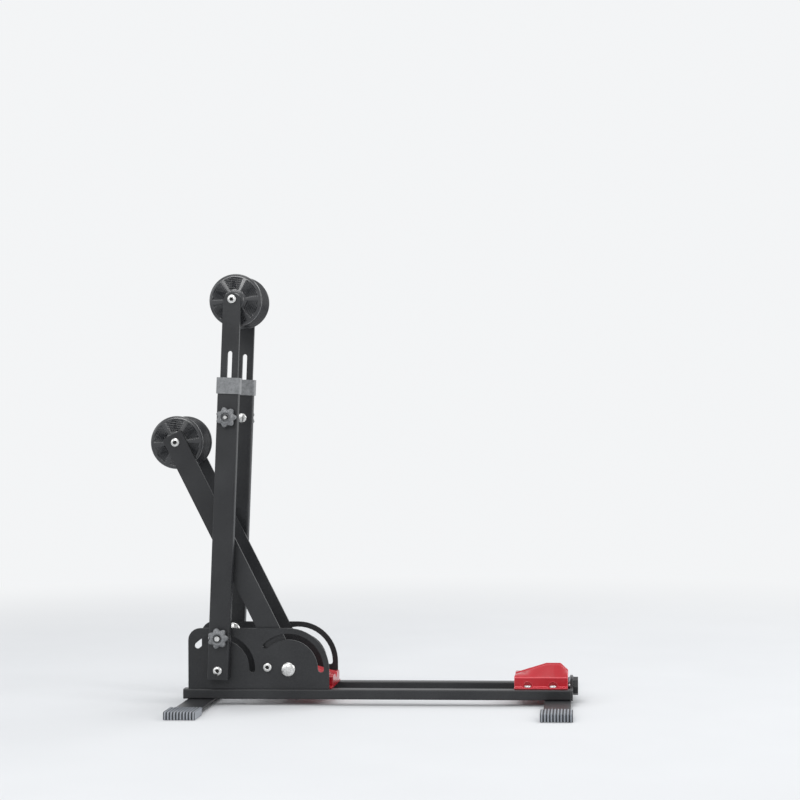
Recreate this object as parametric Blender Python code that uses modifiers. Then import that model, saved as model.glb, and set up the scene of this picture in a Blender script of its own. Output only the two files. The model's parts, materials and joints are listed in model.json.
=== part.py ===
"""Bike parking stand: a floor stand with two rollers and two pads.

Two rails lie on two foot bars. They carry four holds in a row: two red pads that face
each other, a low roller on a short arm, and a high roller on a pair of uprights that
tilt and telescope. X runs along the rails, Y across them, and Z up. Sizes are in metres.
Places along X are measured from a line between the two pads, and the root empty then
moves the whole stand so that its box is centred on the origin.
"""

import math

import bmesh
import bpy

# Fits: a gap between touching pieces, the play of a pin in its hole, how far a cutter
# runs past the piece that it cuts, and the distance at which loose seams are closed
SEAT = 0.0003
PLAY = 0.0003
CUT_OVERRUN = 0.002
MERGE = 0.00001

# Base: two rails on two flat foot bars
RAIL_LEFT = -0.3336
RAIL_LENGTH = 0.5483
RAIL_WIDTH = 0.018
RAIL_HEIGHT = 0.014
RAIL_WALL = 0.0015
RAIL_CORNER = 0.0018
RAIL_INNER_CORNER = 0.0006
CHANNEL_HALF = 0.031
FOOT_BAR_WIDTH = 0.037
FOOT_BAR_THICK = 0.004
FOOT_BAR_LENGTH = 0.357
FOOT_BAR_EDGE = 0.0006
FOOT_INSET_LEFT = 0.0246
FOOT_INSET_RIGHT = 0.0167

# Ribbed rubber caps on the ends of the foot bars
CAP_SOLE = 0.004
CAP_WALL = 0.0032
CAP_LENGTH = 0.045
CAP_ROOF = 0.0033
CAP_RIBS = 9
CAP_GROOVE_DEPTH = 0.0011
CAP_GROOVE_SHARE = 0.42

# Side plates with two arc slots
PLATE_THICK = 0.003
PLATE_INNER = 0.043
PLATE_LEFT_INSET = 0.007
PIVOT_HEIGHT = 0.050
UPRIGHT_PIVOT_X = -0.281
ARM_PIVOT_X = -0.183
SLOT_RADIUS = 0.0465
SLOT_END_ANGLE = 134.0
SLOT_CLEARANCE = 0.00025
PLATE_RIM = 0.0075
PLATE_CORNER_LEFT = 0.017

# Uprights, tilted by the stand's rest position
UPRIGHT_LEAN = 2.4
TUBE_WIDTH = 0.030
TUBE_DEPTH = 0.015
TUBE_WALL = 0.0015
TUBE_CORNER = 0.0025
TUBE_INNER_CORNER = 0.0012
TUBE_BELOW = 0.0127
TUBE_ABOVE = 0.405
WASHER_THICK = 0.0009
WASHER_RADIUS = 0.010
COLLAR_WIDTH = 0.0335
COLLAR_DEPTH = 0.0194
COLLAR_HEIGHT = 0.023
COLLAR_OVERHANG = 0.0095
COLLAR_CORNER = 0.003
COLLAR_GUIDE_CORNER = 0.0004
HEIGHT_KNOB_GAP = 0.019

# Slide bars and their slot
BAR_WIDTH = 0.025
BAR_THICK = 0.006
BAR_BOTTOM = 0.269
BAR_TOP_MARGIN = 0.009
BAR_SLOT_LENGTH = 0.170
BAR_SLOT_CLEARANCE = 0.0005
BAR_SLOT_TOP = 0.4525
UPPER_AXLE_UP = 0.526

# Arms of the low roller
ARM_WIDTH = 0.030
ARM_THICK = 0.004
ARM_ANGLE = 116.7
LOWER_AXLE_OUT = 0.361
ARM_TIP_MARGIN = 0.012
STOP_TUBE_RADIUS = 0.010
STOP_TUBE_WALL = 0.0035
STOP_RISE = 0.003

# Rollers, turned about their axles
ROLLER_RADIUS = 0.038
ROLLER_WAIST = 0.011
ROLLER_HALF_LENGTH = 0.037
ROLLER_RIM_AT = 0.0325
ROLLER_LIP = 0.0045
ROLLER_HUB_RADIUS = 0.0125
ROLLER_WAIST_HALF = 0.0025
ROLLER_RIB_DEPTH = 0.0008
ROLLER_RIBS = 6
ROLLER_HUB_FLARE = 0.001
ROLLER_HUB_CHAMFER = 0.0015
ROLLER_RIM_BAND = 0.0035
ROLLER_RIM_CREST = 0.0005
ROLLER_RIM_EDGE = 0.001
ROLLER_RIM_SIDE = 0.0018
ROLLER_RIM_STEP = 0.0015
BUSH_RADIUS = 0.007
BUSH_LENGTH = 0.011
AXLE_RADIUS = 0.004
AXLE_HEAD_HEIGHT = 0.0028
AXLE_NUT_HEIGHT = 0.0028
SPACER_RADIUS = 0.007

# Fasteners
BOLT_RADIUS = 0.004
HEIGHT_BOLT_RADIUS = 0.003
DOME_HEAD_RADIUS = 0.0103
DOME_HEAD_HEIGHT = 0.004
DOME_SWEEP = 78.0
DOME_STEPS = 4
THIN_HEAD_HEIGHT = 0.0021
BUTTON_RADIUS = 0.007
BUTTON_HEIGHT = 0.0032
BOLT_END_INSET = 0.002
SOCKET_RADIUS = 0.0027
SOCKET_DEPTH = 0.0016
NUT_FLATS = 0.013
NUT_HEIGHT = 0.0048
PAD_SCREW_RADIUS = 0.0024

# Curve of a button head, as shares of its radius and its height
BUTTON_CROWN = ((0.62, 1.0), (0.88, 0.72), (1.0, 0.25))

# Star knobs and the end knob
KNOB_RADIUS = 0.0145
KNOB_WAVE = 0.0022
KNOB_LOBES = 7
KNOB_POINTS_PER_LOBE = 8
KNOB_HEIGHT = 0.015
KNOB_RECESS = 0.0065
KNOB_RECESS_DEPTH = 0.005
END_PLATE_THICK = 0.0038
END_PLATE_TOP = 0.036
END_PLATE_CORNER = 0.004
END_KNOB_RADIUS = 0.013
END_KNOB_SIDES = 8
END_KNOB_HEIGHT = 0.007
END_KNOB_RISE = 0.022
END_STUD_INSIDE = 0.002
END_BORE_SHARE = 0.6

# Red pads on the rails
PAD_LENGTH = 0.0755
PAD_END_GAP = 0.0027
PAD_LEFT_X = -0.1210
PAD_FLANGE_HALF = 0.0418
PAD_FLANGE_THICK = 0.0025
PAD_BODY_HALF = 0.0315
PAD_SHOULDER_RISE = 0.017
PAD_CREST_RISE = 0.031
PAD_CREST_HALF = 0.0185
PAD_TOE_GROOVE = 0.006
PAD_GROOVE_RISE = 0.022
PAD_RAMP_SHARE_START = 0.59
PAD_RAMP_SHARE_END = 0.89
PAD_TAIL_DROP = 0.85
PAD_GROOVE_LEAST = 0.004
PAD_GROOVE_HALF = 0.008
PAD_GROOVE_CURVE = 0.0012
PAD_CREST_ROUND = 0.004
PAD_SHOULDER_ROUND = 0.003
PAD_SHOULDER_DROP = 0.0025
PAD_SCREW_Y = 0.0362
PAD_SCREW_INSET = 0.019
PAD_SCREW_PITCH = 0.0355
PAD_ARCH_RADIUS = 0.0072
PAD_ARCH_HEIGHT = 0.014

# How many straight steps stand for a round
ROUND_STEPS = 16
ROLLER_STEPS = 32
ROUND_END_STEPS = 14
SLOT_STEPS = 16
SLOT_END_STEPS = 8
SMALL_ARC_STEPS = 6

# Places worked out from the sizes above
FOOT_BAR_TOP = CAP_SOLE + FOOT_BAR_THICK
RAIL_BOTTOM = FOOT_BAR_TOP + SEAT
RAIL_TOP = RAIL_BOTTOM + RAIL_HEIGHT
RAIL_RIGHT = RAIL_LEFT + RAIL_LENGTH
RAIL_MID_Y = CHANNEL_HALF + RAIL_WIDTH / 2
RAIL_OUTER = CHANNEL_HALF + RAIL_WIDTH
PLATE_OUTER = PLATE_INNER + PLATE_THICK
PLATE_MID_Y = PLATE_INNER + PLATE_THICK / 2
SLOT_HALF = BOLT_RADIUS + SLOT_CLEARANCE
PLATE_ROUND = SLOT_RADIUS + SLOT_HALF + PLATE_RIM
PLATE_TOP = PIVOT_HEIGHT + PLATE_ROUND
PLATE_LEFT = RAIL_LEFT + PLATE_LEFT_INSET
PLATE_BOTTOM = RAIL_TOP + SEAT
TUBE_INNER_Y = PLATE_OUTER + WASHER_THICK + 2 * SEAT
TUBE_MID_Y = TUBE_INNER_Y + TUBE_DEPTH / 2
TUBE_OUTER_Y = TUBE_INNER_Y + TUBE_DEPTH
ARM_OUTER_Y = PLATE_INNER - WASHER_THICK - 2 * SEAT
ARM_MID_Y = ARM_OUTER_Y - ARM_THICK / 2
ARM_INNER_Y = ARM_OUTER_Y - ARM_THICK
PAD_BOTTOM = RAIL_TOP + SEAT
PAD_FLANGE_TOP = PAD_BOTTOM + PAD_FLANGE_THICK
STOP_OFFSET = ARM_WIDTH / 2 + STOP_TUBE_RADIUS + SEAT
HOLE = BOLT_RADIUS + PLAY
CAP_WIDTH = FOOT_BAR_WIDTH + 2 * CAP_WALL
CAP_HEIGHT = CAP_SOLE + FOOT_BAR_THICK + CAP_ROOF
FOOT_LEFT_X = RAIL_LEFT + FOOT_INSET_LEFT
FOOT_RIGHT_X = RAIL_RIGHT - FOOT_INSET_RIGHT
PAD_RIGHT_X = RAIL_RIGHT - PAD_END_GAP - PAD_LENGTH
COLLAR_BOTTOM = TUBE_ABOVE + COLLAR_OVERHANG - COLLAR_HEIGHT
HEIGHT_BOLT_UP = COLLAR_BOTTOM - HEIGHT_KNOB_GAP - KNOB_RADIUS


def stop_x():
    """X of the stop tube, whose side touches the arm's left edge."""
    angle = math.radians(ARM_ANGLE)
    along = (STOP_RISE - STOP_OFFSET * math.cos(angle)) / math.sin(angle)
    return ARM_PIVOT_X - STOP_OFFSET * math.sin(angle) + along * math.cos(angle)


def stand_centre_x():
    """Middle of the stand's box along X."""
    angle = math.radians(ARM_ANGLE)
    left = ARM_PIVOT_X + LOWER_AXLE_OUT * math.cos(angle) - ROLLER_RADIUS
    right = RAIL_RIGHT + SEAT + END_PLATE_THICK + SEAT + END_KNOB_HEIGHT
    return (left + right) / 2


# Clean start
for old in list(bpy.data.objects):
    bpy.data.objects.remove(old)

PARTS = bpy.data.collections.new("bike_parking_stand")
CUTTERS = bpy.data.collections.new("cutters")
bpy.context.scene.collection.children.link(PARTS)
bpy.context.scene.collection.children.link(CUTTERS)


def material(name, colour, roughness, metallic):
    """A plain finish."""
    made = bpy.data.materials.new(name)
    made.use_nodes = True
    shader = made.node_tree.nodes["Principled BSDF"]
    shader.inputs["Base Color"].default_value = (*colour, 1.0)
    shader.inputs["Roughness"].default_value = roughness
    shader.inputs["Metallic"].default_value = metallic
    return made


BLACK_COAT = material("black_powder_coat", (0.030, 0.031, 0.034), 0.45, 0.0)
ROLLER_PLASTIC = material("roller_plastic", (0.020, 0.021, 0.023), 0.38, 0.0)
RED_PLASTIC = material("red_plastic", (0.42, 0.010, 0.022), 0.22, 0.0)
GREY_RUBBER = material("grey_rubber", (0.17, 0.19, 0.21), 0.70, 0.0)
GREY_PLASTIC = material("grey_plastic", (0.22, 0.23, 0.24), 0.50, 0.0)
KNOB_PLASTIC = material("knob_plastic", (0.06, 0.062, 0.066), 0.45, 0.0)
ZINC = material("zinc", (0.72, 0.72, 0.70), 0.30, 1.0)
NYLON = material("nylon", (0.55, 0.55, 0.52), 0.50, 0.0)
BRONZE = material("bronze", (0.40, 0.26, 0.12), 0.40, 1.0)


def empty(name, parent, location, turn_y=0.0):
    """A frame that carries a group of pieces."""
    frame = bpy.data.objects.new(name, None)
    PARTS.objects.link(frame)
    frame.parent = parent
    frame.location = location
    frame.rotation_euler = (0.0, turn_y, 0.0)
    return frame


def add_mesh(name, mesh, finish, frame, location=(0, 0, 0), rotation=(0, 0, 0), smooth=35.0):
    """Put a mesh in the scene as a piece."""
    made = bpy.data.objects.new(name, mesh)
    PARTS.objects.link(made)
    made.parent = frame
    made.location = location
    made.rotation_euler = rotation
    mesh.materials.clear()
    mesh.materials.append(finish)
    mesh.shade_smooth()
    mesh.set_sharp_from_angle(angle=math.radians(smooth))
    return made


def circle(centre, radius, steps=ROUND_STEPS):
    """Points round a circle."""
    return [(centre[0] + radius * math.cos(2 * math.pi * i / steps),
             centre[1] + radius * math.sin(2 * math.pi * i / steps)) for i in range(steps)]


def arc(centre, radius, start, end, steps):
    """Points along an arc, in degrees, both ends included."""
    points = []
    for i in range(steps + 1):
        angle = math.radians(start + (end - start) * i / steps)
        points.append((centre[0] + radius * math.cos(angle), centre[1] + radius * math.sin(angle)))
    return points


def rounded_rect(half_x, half_y, radius, steps=3):
    """A centred rectangle with round corners."""
    points = []
    for sign_x, sign_y, start in ((1, 1, 0), (-1, 1, 90), (-1, -1, 180), (1, -1, 270)):
        centre = (sign_x * (half_x - radius), sign_y * (half_y - radius))
        points += arc(centre, radius, start, start + 90, steps)
    return points


def arc_slot(centre, radius, half, start, end):
    """An arc-shaped slot with round ends."""
    first = arc(centre, radius, start, start, 1)[0]
    last = arc(centre, radius, end, end, 1)[0]
    points = arc(centre, radius + half, start, end, SLOT_STEPS)
    points += arc(last, half, end, end + 180, SMALL_ARC_STEPS)[1:-1]
    points += arc(centre, radius - half, end, start, SLOT_STEPS)
    points += arc(first, half, start + 180, start + 360, SMALL_ARC_STEPS)[1:-1]
    return points


def welded(name, mesh):
    """Close a mesh's seams and turn its faces outwards."""
    shape = bmesh.new()
    shape.from_mesh(mesh)
    bmesh.ops.remove_doubles(shape, verts=shape.verts, dist=MERGE)
    bmesh.ops.recalc_face_normals(shape, faces=shape.faces)
    shape.to_mesh(mesh)
    shape.free()
    mesh.name = name
    return mesh


def prism_mesh(name, loops, thick):
    """A flat outline with holes, extruded about its own plane."""
    curve = bpy.data.curves.new(name, "CURVE")
    curve.dimensions = "2D"
    curve.fill_mode = "BOTH"
    curve.extrude = thick / 2
    for loop in loops:
        spline = curve.splines.new("POLY")
        spline.points.add(len(loop) - 1)
        for point, place in zip(spline.points, loop):
            point.co = (place[0], place[1], 0.0, 1.0)
        spline.use_cyclic_u = True
    drawn = bpy.data.objects.new(name + "_outline", curve)
    PARTS.objects.link(drawn)
    depsgraph = bpy.context.evaluated_depsgraph_get()
    mesh = bpy.data.meshes.new_from_object(drawn.evaluated_get(depsgraph))
    bpy.data.objects.remove(drawn)
    return welded(name, mesh)


UPSTAND = (math.pi / 2, 0, 0)
ALONG_X = (math.pi / 2, 0, math.pi / 2)


def plate(name, loops, thick, finish, frame, location):
    """An outline in the XZ plane, thick along Y."""
    return add_mesh(name, prism_mesh(name, loops, thick), finish, frame, location, UPSTAND)


def turned_mesh(name, profile, closed, steps=ROUND_STEPS):
    """A profile of (radius, height) points turned about Z; it runs down the outer side."""
    mesh = bpy.data.meshes.new(name)
    edges = [(i, i + 1) for i in range(len(profile) - 1)]
    if closed:
        edges.append((len(profile) - 1, 0))
    mesh.from_pydata([(radius, 0.0, height) for radius, height in profile], edges, [])
    turned = bpy.data.objects.new(name + "_profile", mesh)
    PARTS.objects.link(turned)
    screw = turned.modifiers.new("turn", "SCREW")
    screw.steps = steps
    screw.render_steps = steps
    screw.use_merge_vertices = True
    screw.merge_threshold = MERGE
    screw.use_normal_calculate = True
    depsgraph = bpy.context.evaluated_depsgraph_get()
    made = bpy.data.meshes.new_from_object(turned.evaluated_get(depsgraph))
    bpy.data.objects.remove(turned)
    return welded(name, made)


def outward(side):
    """Rotation that points a turned piece's own Z away from the middle plane."""
    return (-side * math.pi / 2, 0, 0)


def turned(name, profile, finish, frame, location, side, closed=False, steps=ROUND_STEPS):
    """A turned piece whose axis lies along Y."""
    mesh = turned_mesh(name, profile, closed, steps)
    return add_mesh(name, mesh, finish, frame, location, outward(side))


def box_mesh(name, size):
    """A box about its own centre."""
    shape = bmesh.new()
    bmesh.ops.create_cube(shape, size=1.0)
    bmesh.ops.scale(shape, vec=size, verts=shape.verts)
    mesh = bpy.data.meshes.new(name)
    shape.to_mesh(mesh)
    shape.free()
    return mesh


def box(name, size, finish, frame, location, bevel=0.0):
    """A box with its edges broken."""
    made = add_mesh(name, box_mesh(name, size), finish, frame, location)
    if bevel:
        rounding = made.modifiers.new("edges", "BEVEL")
        rounding.width = bevel
        rounding.segments = 2
    return made


def cutter(name, mesh, frame, location, rotation=(0, 0, 0)):
    """A guide that cuts another piece."""
    made = bpy.data.objects.new(name, mesh)
    CUTTERS.objects.link(made)
    made.parent = frame
    made.location = location
    made.rotation_euler = rotation
    made.hide_render = True
    made.display_type = "WIRE"
    return made


def cut(piece, tool):
    """Subtract a cutter from a piece."""
    boolean = piece.modifiers.new("cut_" + tool.name, "BOOLEAN")
    boolean.operation = "DIFFERENCE"
    boolean.solver = "EXACT"
    boolean.object = tool


def rod_mesh(name, radius, length, steps=ROUND_STEPS):
    """A plain rod about its own centre, along Z."""
    shape = bmesh.new()
    bmesh.ops.create_cone(shape, cap_ends=True, segments=steps, radius1=radius,
                          radius2=radius, depth=length)
    mesh = bpy.data.meshes.new(name)
    shape.to_mesh(mesh)
    shape.free()
    return mesh


def dome_bolt_profile(head, height, shank, length):
    """A carriage bolt: a domed head above zero and a shank below it."""
    points = [(0.0, height)]
    for i in range(1, DOME_STEPS + 1):
        angle = math.radians(90 - DOME_SWEEP * i / DOME_STEPS)
        points.append((head * math.cos(angle), height * math.sin(angle)))
    points += [(head, 0.0), (shank, 0.0), (shank, -length), (0.0, -length)]
    return points


def socket_bolt_profile(head, height, shank, length):
    """A button-head bolt with a driver socket."""
    points = [(0.0, height - SOCKET_DEPTH), (SOCKET_RADIUS, height - SOCKET_DEPTH),
              (SOCKET_RADIUS, height)]
    points += [(head * wide, height * tall) for wide, tall in BUTTON_CROWN]
    return points + [(head, 0.0), (shank, 0.0), (shank, -length), (0.0, -length)]


def ring_profile(inner, outer, length):
    """A plain ring, centred on zero."""
    half = length / 2
    return [(inner, half), (outer, half), (outer, -half), (inner, -half)]


def nut_mesh(name, bore, height):
    """A hexagon nut about its own centre, along Z."""
    corner = NUT_FLATS / 2 / math.cos(math.radians(30))
    return prism_mesh(name, [circle((0, 0), corner, 6), circle((0, 0), bore)], height)


ROOT = empty("stand", None, (-stand_centre_x(), 0, 0))
UPRIGHT = empty("upright_frame", ROOT, (UPRIGHT_PIVOT_X, 0, PIVOT_HEIGHT),
                math.radians(UPRIGHT_LEAN))
ARM = empty("arm_frame", ROOT, (ARM_PIVOT_X, 0, PIVOT_HEIGHT),
            math.radians(90 - ARM_ANGLE))
SIDES = (("near", -1), ("far", 1))


def make_rails():
    """Two open rectangular tubes, drilled for the pads' screws."""
    outer = rounded_rect(RAIL_WIDTH / 2, RAIL_HEIGHT / 2, RAIL_CORNER)
    inner = rounded_rect(RAIL_WIDTH / 2 - RAIL_WALL, RAIL_HEIGHT / 2 - RAIL_WALL,
                         RAIL_INNER_CORNER)
    hole_length = 2 * (RAIL_WALL + CUT_OVERRUN)
    middle_x = RAIL_LEFT + RAIL_LENGTH / 2
    middle_z = RAIL_BOTTOM + RAIL_HEIGHT / 2
    for label, side in SIDES:
        name = "rail_" + label
        mesh = prism_mesh(name, [outer, inner], RAIL_LENGTH)
        rail = add_mesh(name, mesh, BLACK_COAT, ROOT, (middle_x, side * RAIL_MID_Y, middle_z),
                        ALONG_X)
        for x in pad_screw_places():
            hole = rod_mesh("rail_hole", PAD_SCREW_RADIUS + PLAY, hole_length)
            cut(rail, cutter("rail_hole", hole, ROOT, (x, side * PAD_SCREW_Y, RAIL_TOP)))


def pad_screw_places():
    """X of every pad screw on one side, both pads."""
    right = [PAD_RIGHT_X + PAD_SCREW_INSET, PAD_RIGHT_X + PAD_SCREW_INSET + PAD_SCREW_PITCH]
    left = [PAD_LEFT_X - PAD_SCREW_INSET, PAD_LEFT_X - PAD_SCREW_INSET - PAD_SCREW_PITCH]
    return right + left


def make_feet():
    """Flat bars across the rails, each with two ribbed rubber caps."""
    for end, x in (("left", FOOT_LEFT_X), ("right", FOOT_RIGHT_X)):
        box("foot_bar_" + end, (FOOT_BAR_WIDTH, FOOT_BAR_LENGTH, FOOT_BAR_THICK), BLACK_COAT,
            ROOT, (x, 0, CAP_SOLE + FOOT_BAR_THICK / 2), FOOT_BAR_EDGE)
        for label, side in SIDES:
            make_foot_cap("foot_cap_" + end + "_" + label, x, side)


def make_foot_cap(name, x, side):
    """A cap with ribs that run over its top and down its end."""
    end_y = FOOT_BAR_LENGTH / 2 + SEAT + CAP_WALL
    middle_y = end_y - CAP_LENGTH / 2
    cap = box(name, (CAP_WIDTH, CAP_LENGTH, CAP_HEIGHT), GREY_RUBBER, ROOT,
              (x, side * middle_y, CAP_HEIGHT / 2))
    pocket = box_mesh("cap_pocket", (FOOT_BAR_WIDTH + 2 * SEAT, FOOT_BAR_LENGTH + 2 * SEAT,
                                     FOOT_BAR_THICK + 2 * SEAT))
    cut(cap, cutter("cap_pocket", pocket, ROOT, (x, 0, CAP_SOLE + FOOT_BAR_THICK / 2)))
    pitch = CAP_WIDTH / CAP_RIBS
    shape = bmesh.new()
    over_end = side * (end_y + CUT_OVERRUN)
    under_end = side * (end_y - CAP_GROOVE_DEPTH)
    past_back = side * (end_y - CAP_LENGTH - CUT_OVERRUN)
    over_top = CAP_HEIGHT + CUT_OVERRUN
    under_top = CAP_HEIGHT - CAP_GROOVE_DEPTH
    path = [(under_end, -CUT_OVERRUN), (over_end, -CUT_OVERRUN), (over_end, over_top),
            (past_back, over_top), (past_back, under_top), (under_end, under_top)]
    groove = prism_mesh("cap_groove", [path], pitch * CAP_GROOVE_SHARE)
    for i in range(CAP_RIBS - 1):
        start = len(shape.verts)
        shape.from_mesh(groove)
        shape.verts.ensure_lookup_table()
        offset = (i + 1) * pitch - CAP_WIDTH / 2
        bmesh.ops.translate(shape, verts=shape.verts[start:], vec=(0, 0, offset))
    grooves = bpy.data.meshes.new("cap_grooves")
    shape.to_mesh(grooves)
    shape.free()
    cut(cap, cutter("cap_grooves", grooves, ROOT, (x, 0, 0), ALONG_X))


def make_side_plates():
    """Upright plates with a pivot hole and an arc slot for each pair of arms."""
    pivot = (UPRIGHT_PIVOT_X, PIVOT_HEIGHT)
    arm_pivot = (ARM_PIVOT_X, PIVOT_HEIGHT)
    right = ARM_PIVOT_X + PLATE_ROUND
    corner = (PLATE_LEFT + PLATE_CORNER_LEFT, PLATE_TOP - PLATE_CORNER_LEFT)
    outline = [(PLATE_LEFT, PLATE_BOTTOM), (right, PLATE_BOTTOM)]
    outline += arc(arm_pivot, PLATE_ROUND, 0, 90, ROUND_END_STEPS)
    outline += arc(corner, PLATE_CORNER_LEFT, 90, 180, SMALL_ARC_STEPS)
    stop = (stop_x(), PIVOT_HEIGHT + STOP_RISE)
    loops = [outline, circle(pivot, HOLE), circle(arm_pivot, HOLE), circle(stop, HOLE)]
    for centre in (pivot, arm_pivot):
        loops.append(arc_slot(centre, SLOT_RADIUS, SLOT_HALF, 0, SLOT_END_ANGLE))
    for label, side in SIDES:
        plate("side_plate_" + label, loops, PLATE_THICK, BLACK_COAT, ROOT,
              (0, side * PLATE_MID_Y, 0))


def pad_section(share):
    """Half of a pad's outline at a share of its length, from the groove outwards."""
    toe_share = min(share / PAD_RAMP_SHARE_START, 1.0)
    tail = max(0.0, (share - PAD_RAMP_SHARE_END) / (1 - PAD_RAMP_SHARE_END))
    rise = PAD_CREST_RISE - PAD_SHOULDER_RISE
    crest = PAD_SHOULDER_RISE + rise * (toe_share - tail * PAD_TAIL_DROP)
    groove = PAD_TOE_GROOVE + (PAD_GROOVE_RISE - PAD_TOE_GROOVE) * toe_share
    groove = min(groove, crest - PAD_GROOVE_LEAST)
    return [(0.0, groove), (PAD_GROOVE_HALF, groove + PAD_GROOVE_CURVE),
            (PAD_CREST_HALF - PAD_CREST_ROUND, crest - PAD_CREST_ROUND / 2),
            (PAD_CREST_HALF, crest), (PAD_BODY_HALF - PAD_SHOULDER_ROUND, PAD_SHOULDER_RISE),
            (PAD_BODY_HALF, PAD_SHOULDER_RISE - PAD_SHOULDER_DROP),
            (PAD_BODY_HALF, PAD_FLANGE_THICK), (PAD_FLANGE_HALF, PAD_FLANGE_THICK),
            (PAD_FLANGE_HALF, 0.0)]


def make_pad(name, toe_x, direction):
    """A wedge with a groove along its middle, lofted through its sections."""
    shares = (0.0, PAD_RAMP_SHARE_START / 2, PAD_RAMP_SHARE_START, PAD_RAMP_SHARE_END, 1.0)
    shape = bmesh.new()
    rings = []
    for share in shares:
        half = pad_section(share)
        loop = half + [(-y, z) for y, z in reversed(half[1:])]
        x = toe_x + direction * share * PAD_LENGTH
        rings.append([shape.verts.new((x, y, PAD_BOTTOM + z)) for y, z in loop])
    count = len(rings[0])
    for first, second in zip(rings, rings[1:]):
        for i in range(count):
            j = (i + 1) % count
            shape.faces.new((first[i], first[j], second[j], second[i]))
    shape.faces.new(rings[0])
    shape.faces.new(rings[-1])
    bmesh.ops.recalc_face_normals(shape, faces=shape.faces)
    mesh = bpy.data.meshes.new(name)
    shape.to_mesh(mesh)
    shape.free()
    pad = add_mesh(name, mesh, RED_PLASTIC, ROOT)
    for place in (PAD_SCREW_INSET, PAD_SCREW_INSET + PAD_SCREW_PITCH):
        x = toe_x + direction * place
        for side in (-1, 1):
            y = side * PAD_SCREW_Y
            hole = rod_mesh("pad_hole", PAD_SCREW_RADIUS + PLAY,
                            2 * (PAD_FLANGE_THICK + CUT_OVERRUN))
            cut(pad, cutter("pad_hole", hole, ROOT, (x, y, PAD_BOTTOM)))
            arch = rod_mesh("pad_arch", PAD_ARCH_RADIUS, PAD_ARCH_HEIGHT)
            arch_z = PAD_FLANGE_TOP + PAD_ARCH_HEIGHT / 2
            cut(pad, cutter("pad_arch", arch, ROOT, (x, y, arch_z)))


def make_end_plate():
    """The plate that closes the rails' right end, with its stud and knob."""
    x = RAIL_RIGHT + SEAT + END_PLATE_THICK / 2
    half_z = (END_PLATE_TOP - RAIL_BOTTOM) / 2
    middle_z = RAIL_BOTTOM + half_z
    outline = rounded_rect(RAIL_OUTER, half_z, END_PLATE_CORNER)
    hole = circle((0, END_KNOB_RISE - middle_z), HEIGHT_BOLT_RADIUS + PLAY)
    mesh = prism_mesh("end_plate", [outline, hole], END_PLATE_THICK)
    add_mesh("end_plate", mesh, BLACK_COAT, ROOT, (x, 0, middle_z), ALONG_X)
    length = END_STUD_INSIDE + SEAT + END_PLATE_THICK + END_KNOB_HEIGHT * END_BORE_SHARE
    stud = rod_mesh("end_stud", HEIGHT_BOLT_RADIUS, length)
    stud_x = RAIL_RIGHT - END_STUD_INSIDE + length / 2
    add_mesh("end_stud", stud, ZINC, ROOT, (stud_x, 0, END_KNOB_RISE), (0, math.pi / 2, 0))
    rim = circle((0, 0), END_KNOB_RADIUS, END_KNOB_SIDES)
    knob_mesh = prism_mesh("end_knob", [rim], END_KNOB_HEIGHT)
    knob_x = RAIL_RIGHT + SEAT + END_PLATE_THICK + SEAT + END_KNOB_HEIGHT / 2
    knob = add_mesh("end_knob", knob_mesh, BLACK_COAT, ROOT, (knob_x, 0, END_KNOB_RISE), ALONG_X)
    bore_length = 2 * (END_KNOB_HEIGHT * END_BORE_SHARE + SEAT)
    bore = rod_mesh("end_knob_bore", HEIGHT_BOLT_RADIUS + PLAY, bore_length)
    bore_x = knob_x - END_KNOB_HEIGHT / 2
    cut(knob, cutter("end_knob_bore", bore, ROOT, (bore_x, 0, END_KNOB_RISE), (0, math.pi / 2, 0)))


def make_base_fasteners():
    """Pivot bolts, nuts and washers, and the stop that the arms rest on."""
    washer = turned_mesh("washer", ring_profile(HOLE, WASHER_RADIUS, WASHER_THICK), True)
    nut = nut_mesh("nut", HOLE, NUT_HEIGHT)
    for label, side in SIDES:
        length = TUBE_OUTER_Y + SEAT - (PLATE_INNER - SEAT - NUT_HEIGHT)
        profile = socket_bolt_profile(BUTTON_RADIUS, BUTTON_HEIGHT, BOLT_RADIUS, length)
        turned("upright_pivot_bolt_" + label, profile, ZINC, ROOT,
               (UPRIGHT_PIVOT_X, side * (TUBE_OUTER_Y + SEAT), PIVOT_HEIGHT), side)
        length = PLATE_OUTER + SEAT - (ARM_INNER_Y - SEAT - NUT_HEIGHT)
        profile = dome_bolt_profile(DOME_HEAD_RADIUS, DOME_HEAD_HEIGHT, BOLT_RADIUS, length)
        turned("arm_pivot_bolt_" + label, profile, ZINC, ROOT,
               (ARM_PIVOT_X, side * (PLATE_OUTER + SEAT), PIVOT_HEIGHT), side)
        y = side * (PLATE_INNER - SEAT - NUT_HEIGHT / 2)
        add_mesh("upright_pivot_nut_" + label, nut.copy(), ZINC, ROOT,
                 (UPRIGHT_PIVOT_X, y, PIVOT_HEIGHT), UPSTAND)
        y = side * (ARM_INNER_Y - SEAT - NUT_HEIGHT / 2)
        add_mesh("arm_pivot_nut_" + label, nut.copy(), ZINC, ROOT,
                 (ARM_PIVOT_X, y, PIVOT_HEIGHT), UPSTAND)
        y = side * (PLATE_OUTER + SEAT + WASHER_THICK / 2)
        add_mesh("upright_washer_" + label, washer.copy(), NYLON, ROOT,
                 (UPRIGHT_PIVOT_X, y, PIVOT_HEIGHT), UPSTAND)
        y = side * (PLATE_INNER - SEAT - WASHER_THICK / 2)
        add_mesh("arm_washer_" + label, washer.copy(), NYLON, ROOT,
                 (ARM_PIVOT_X, y, PIVOT_HEIGHT), UPSTAND)
    make_stop(nut)


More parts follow.
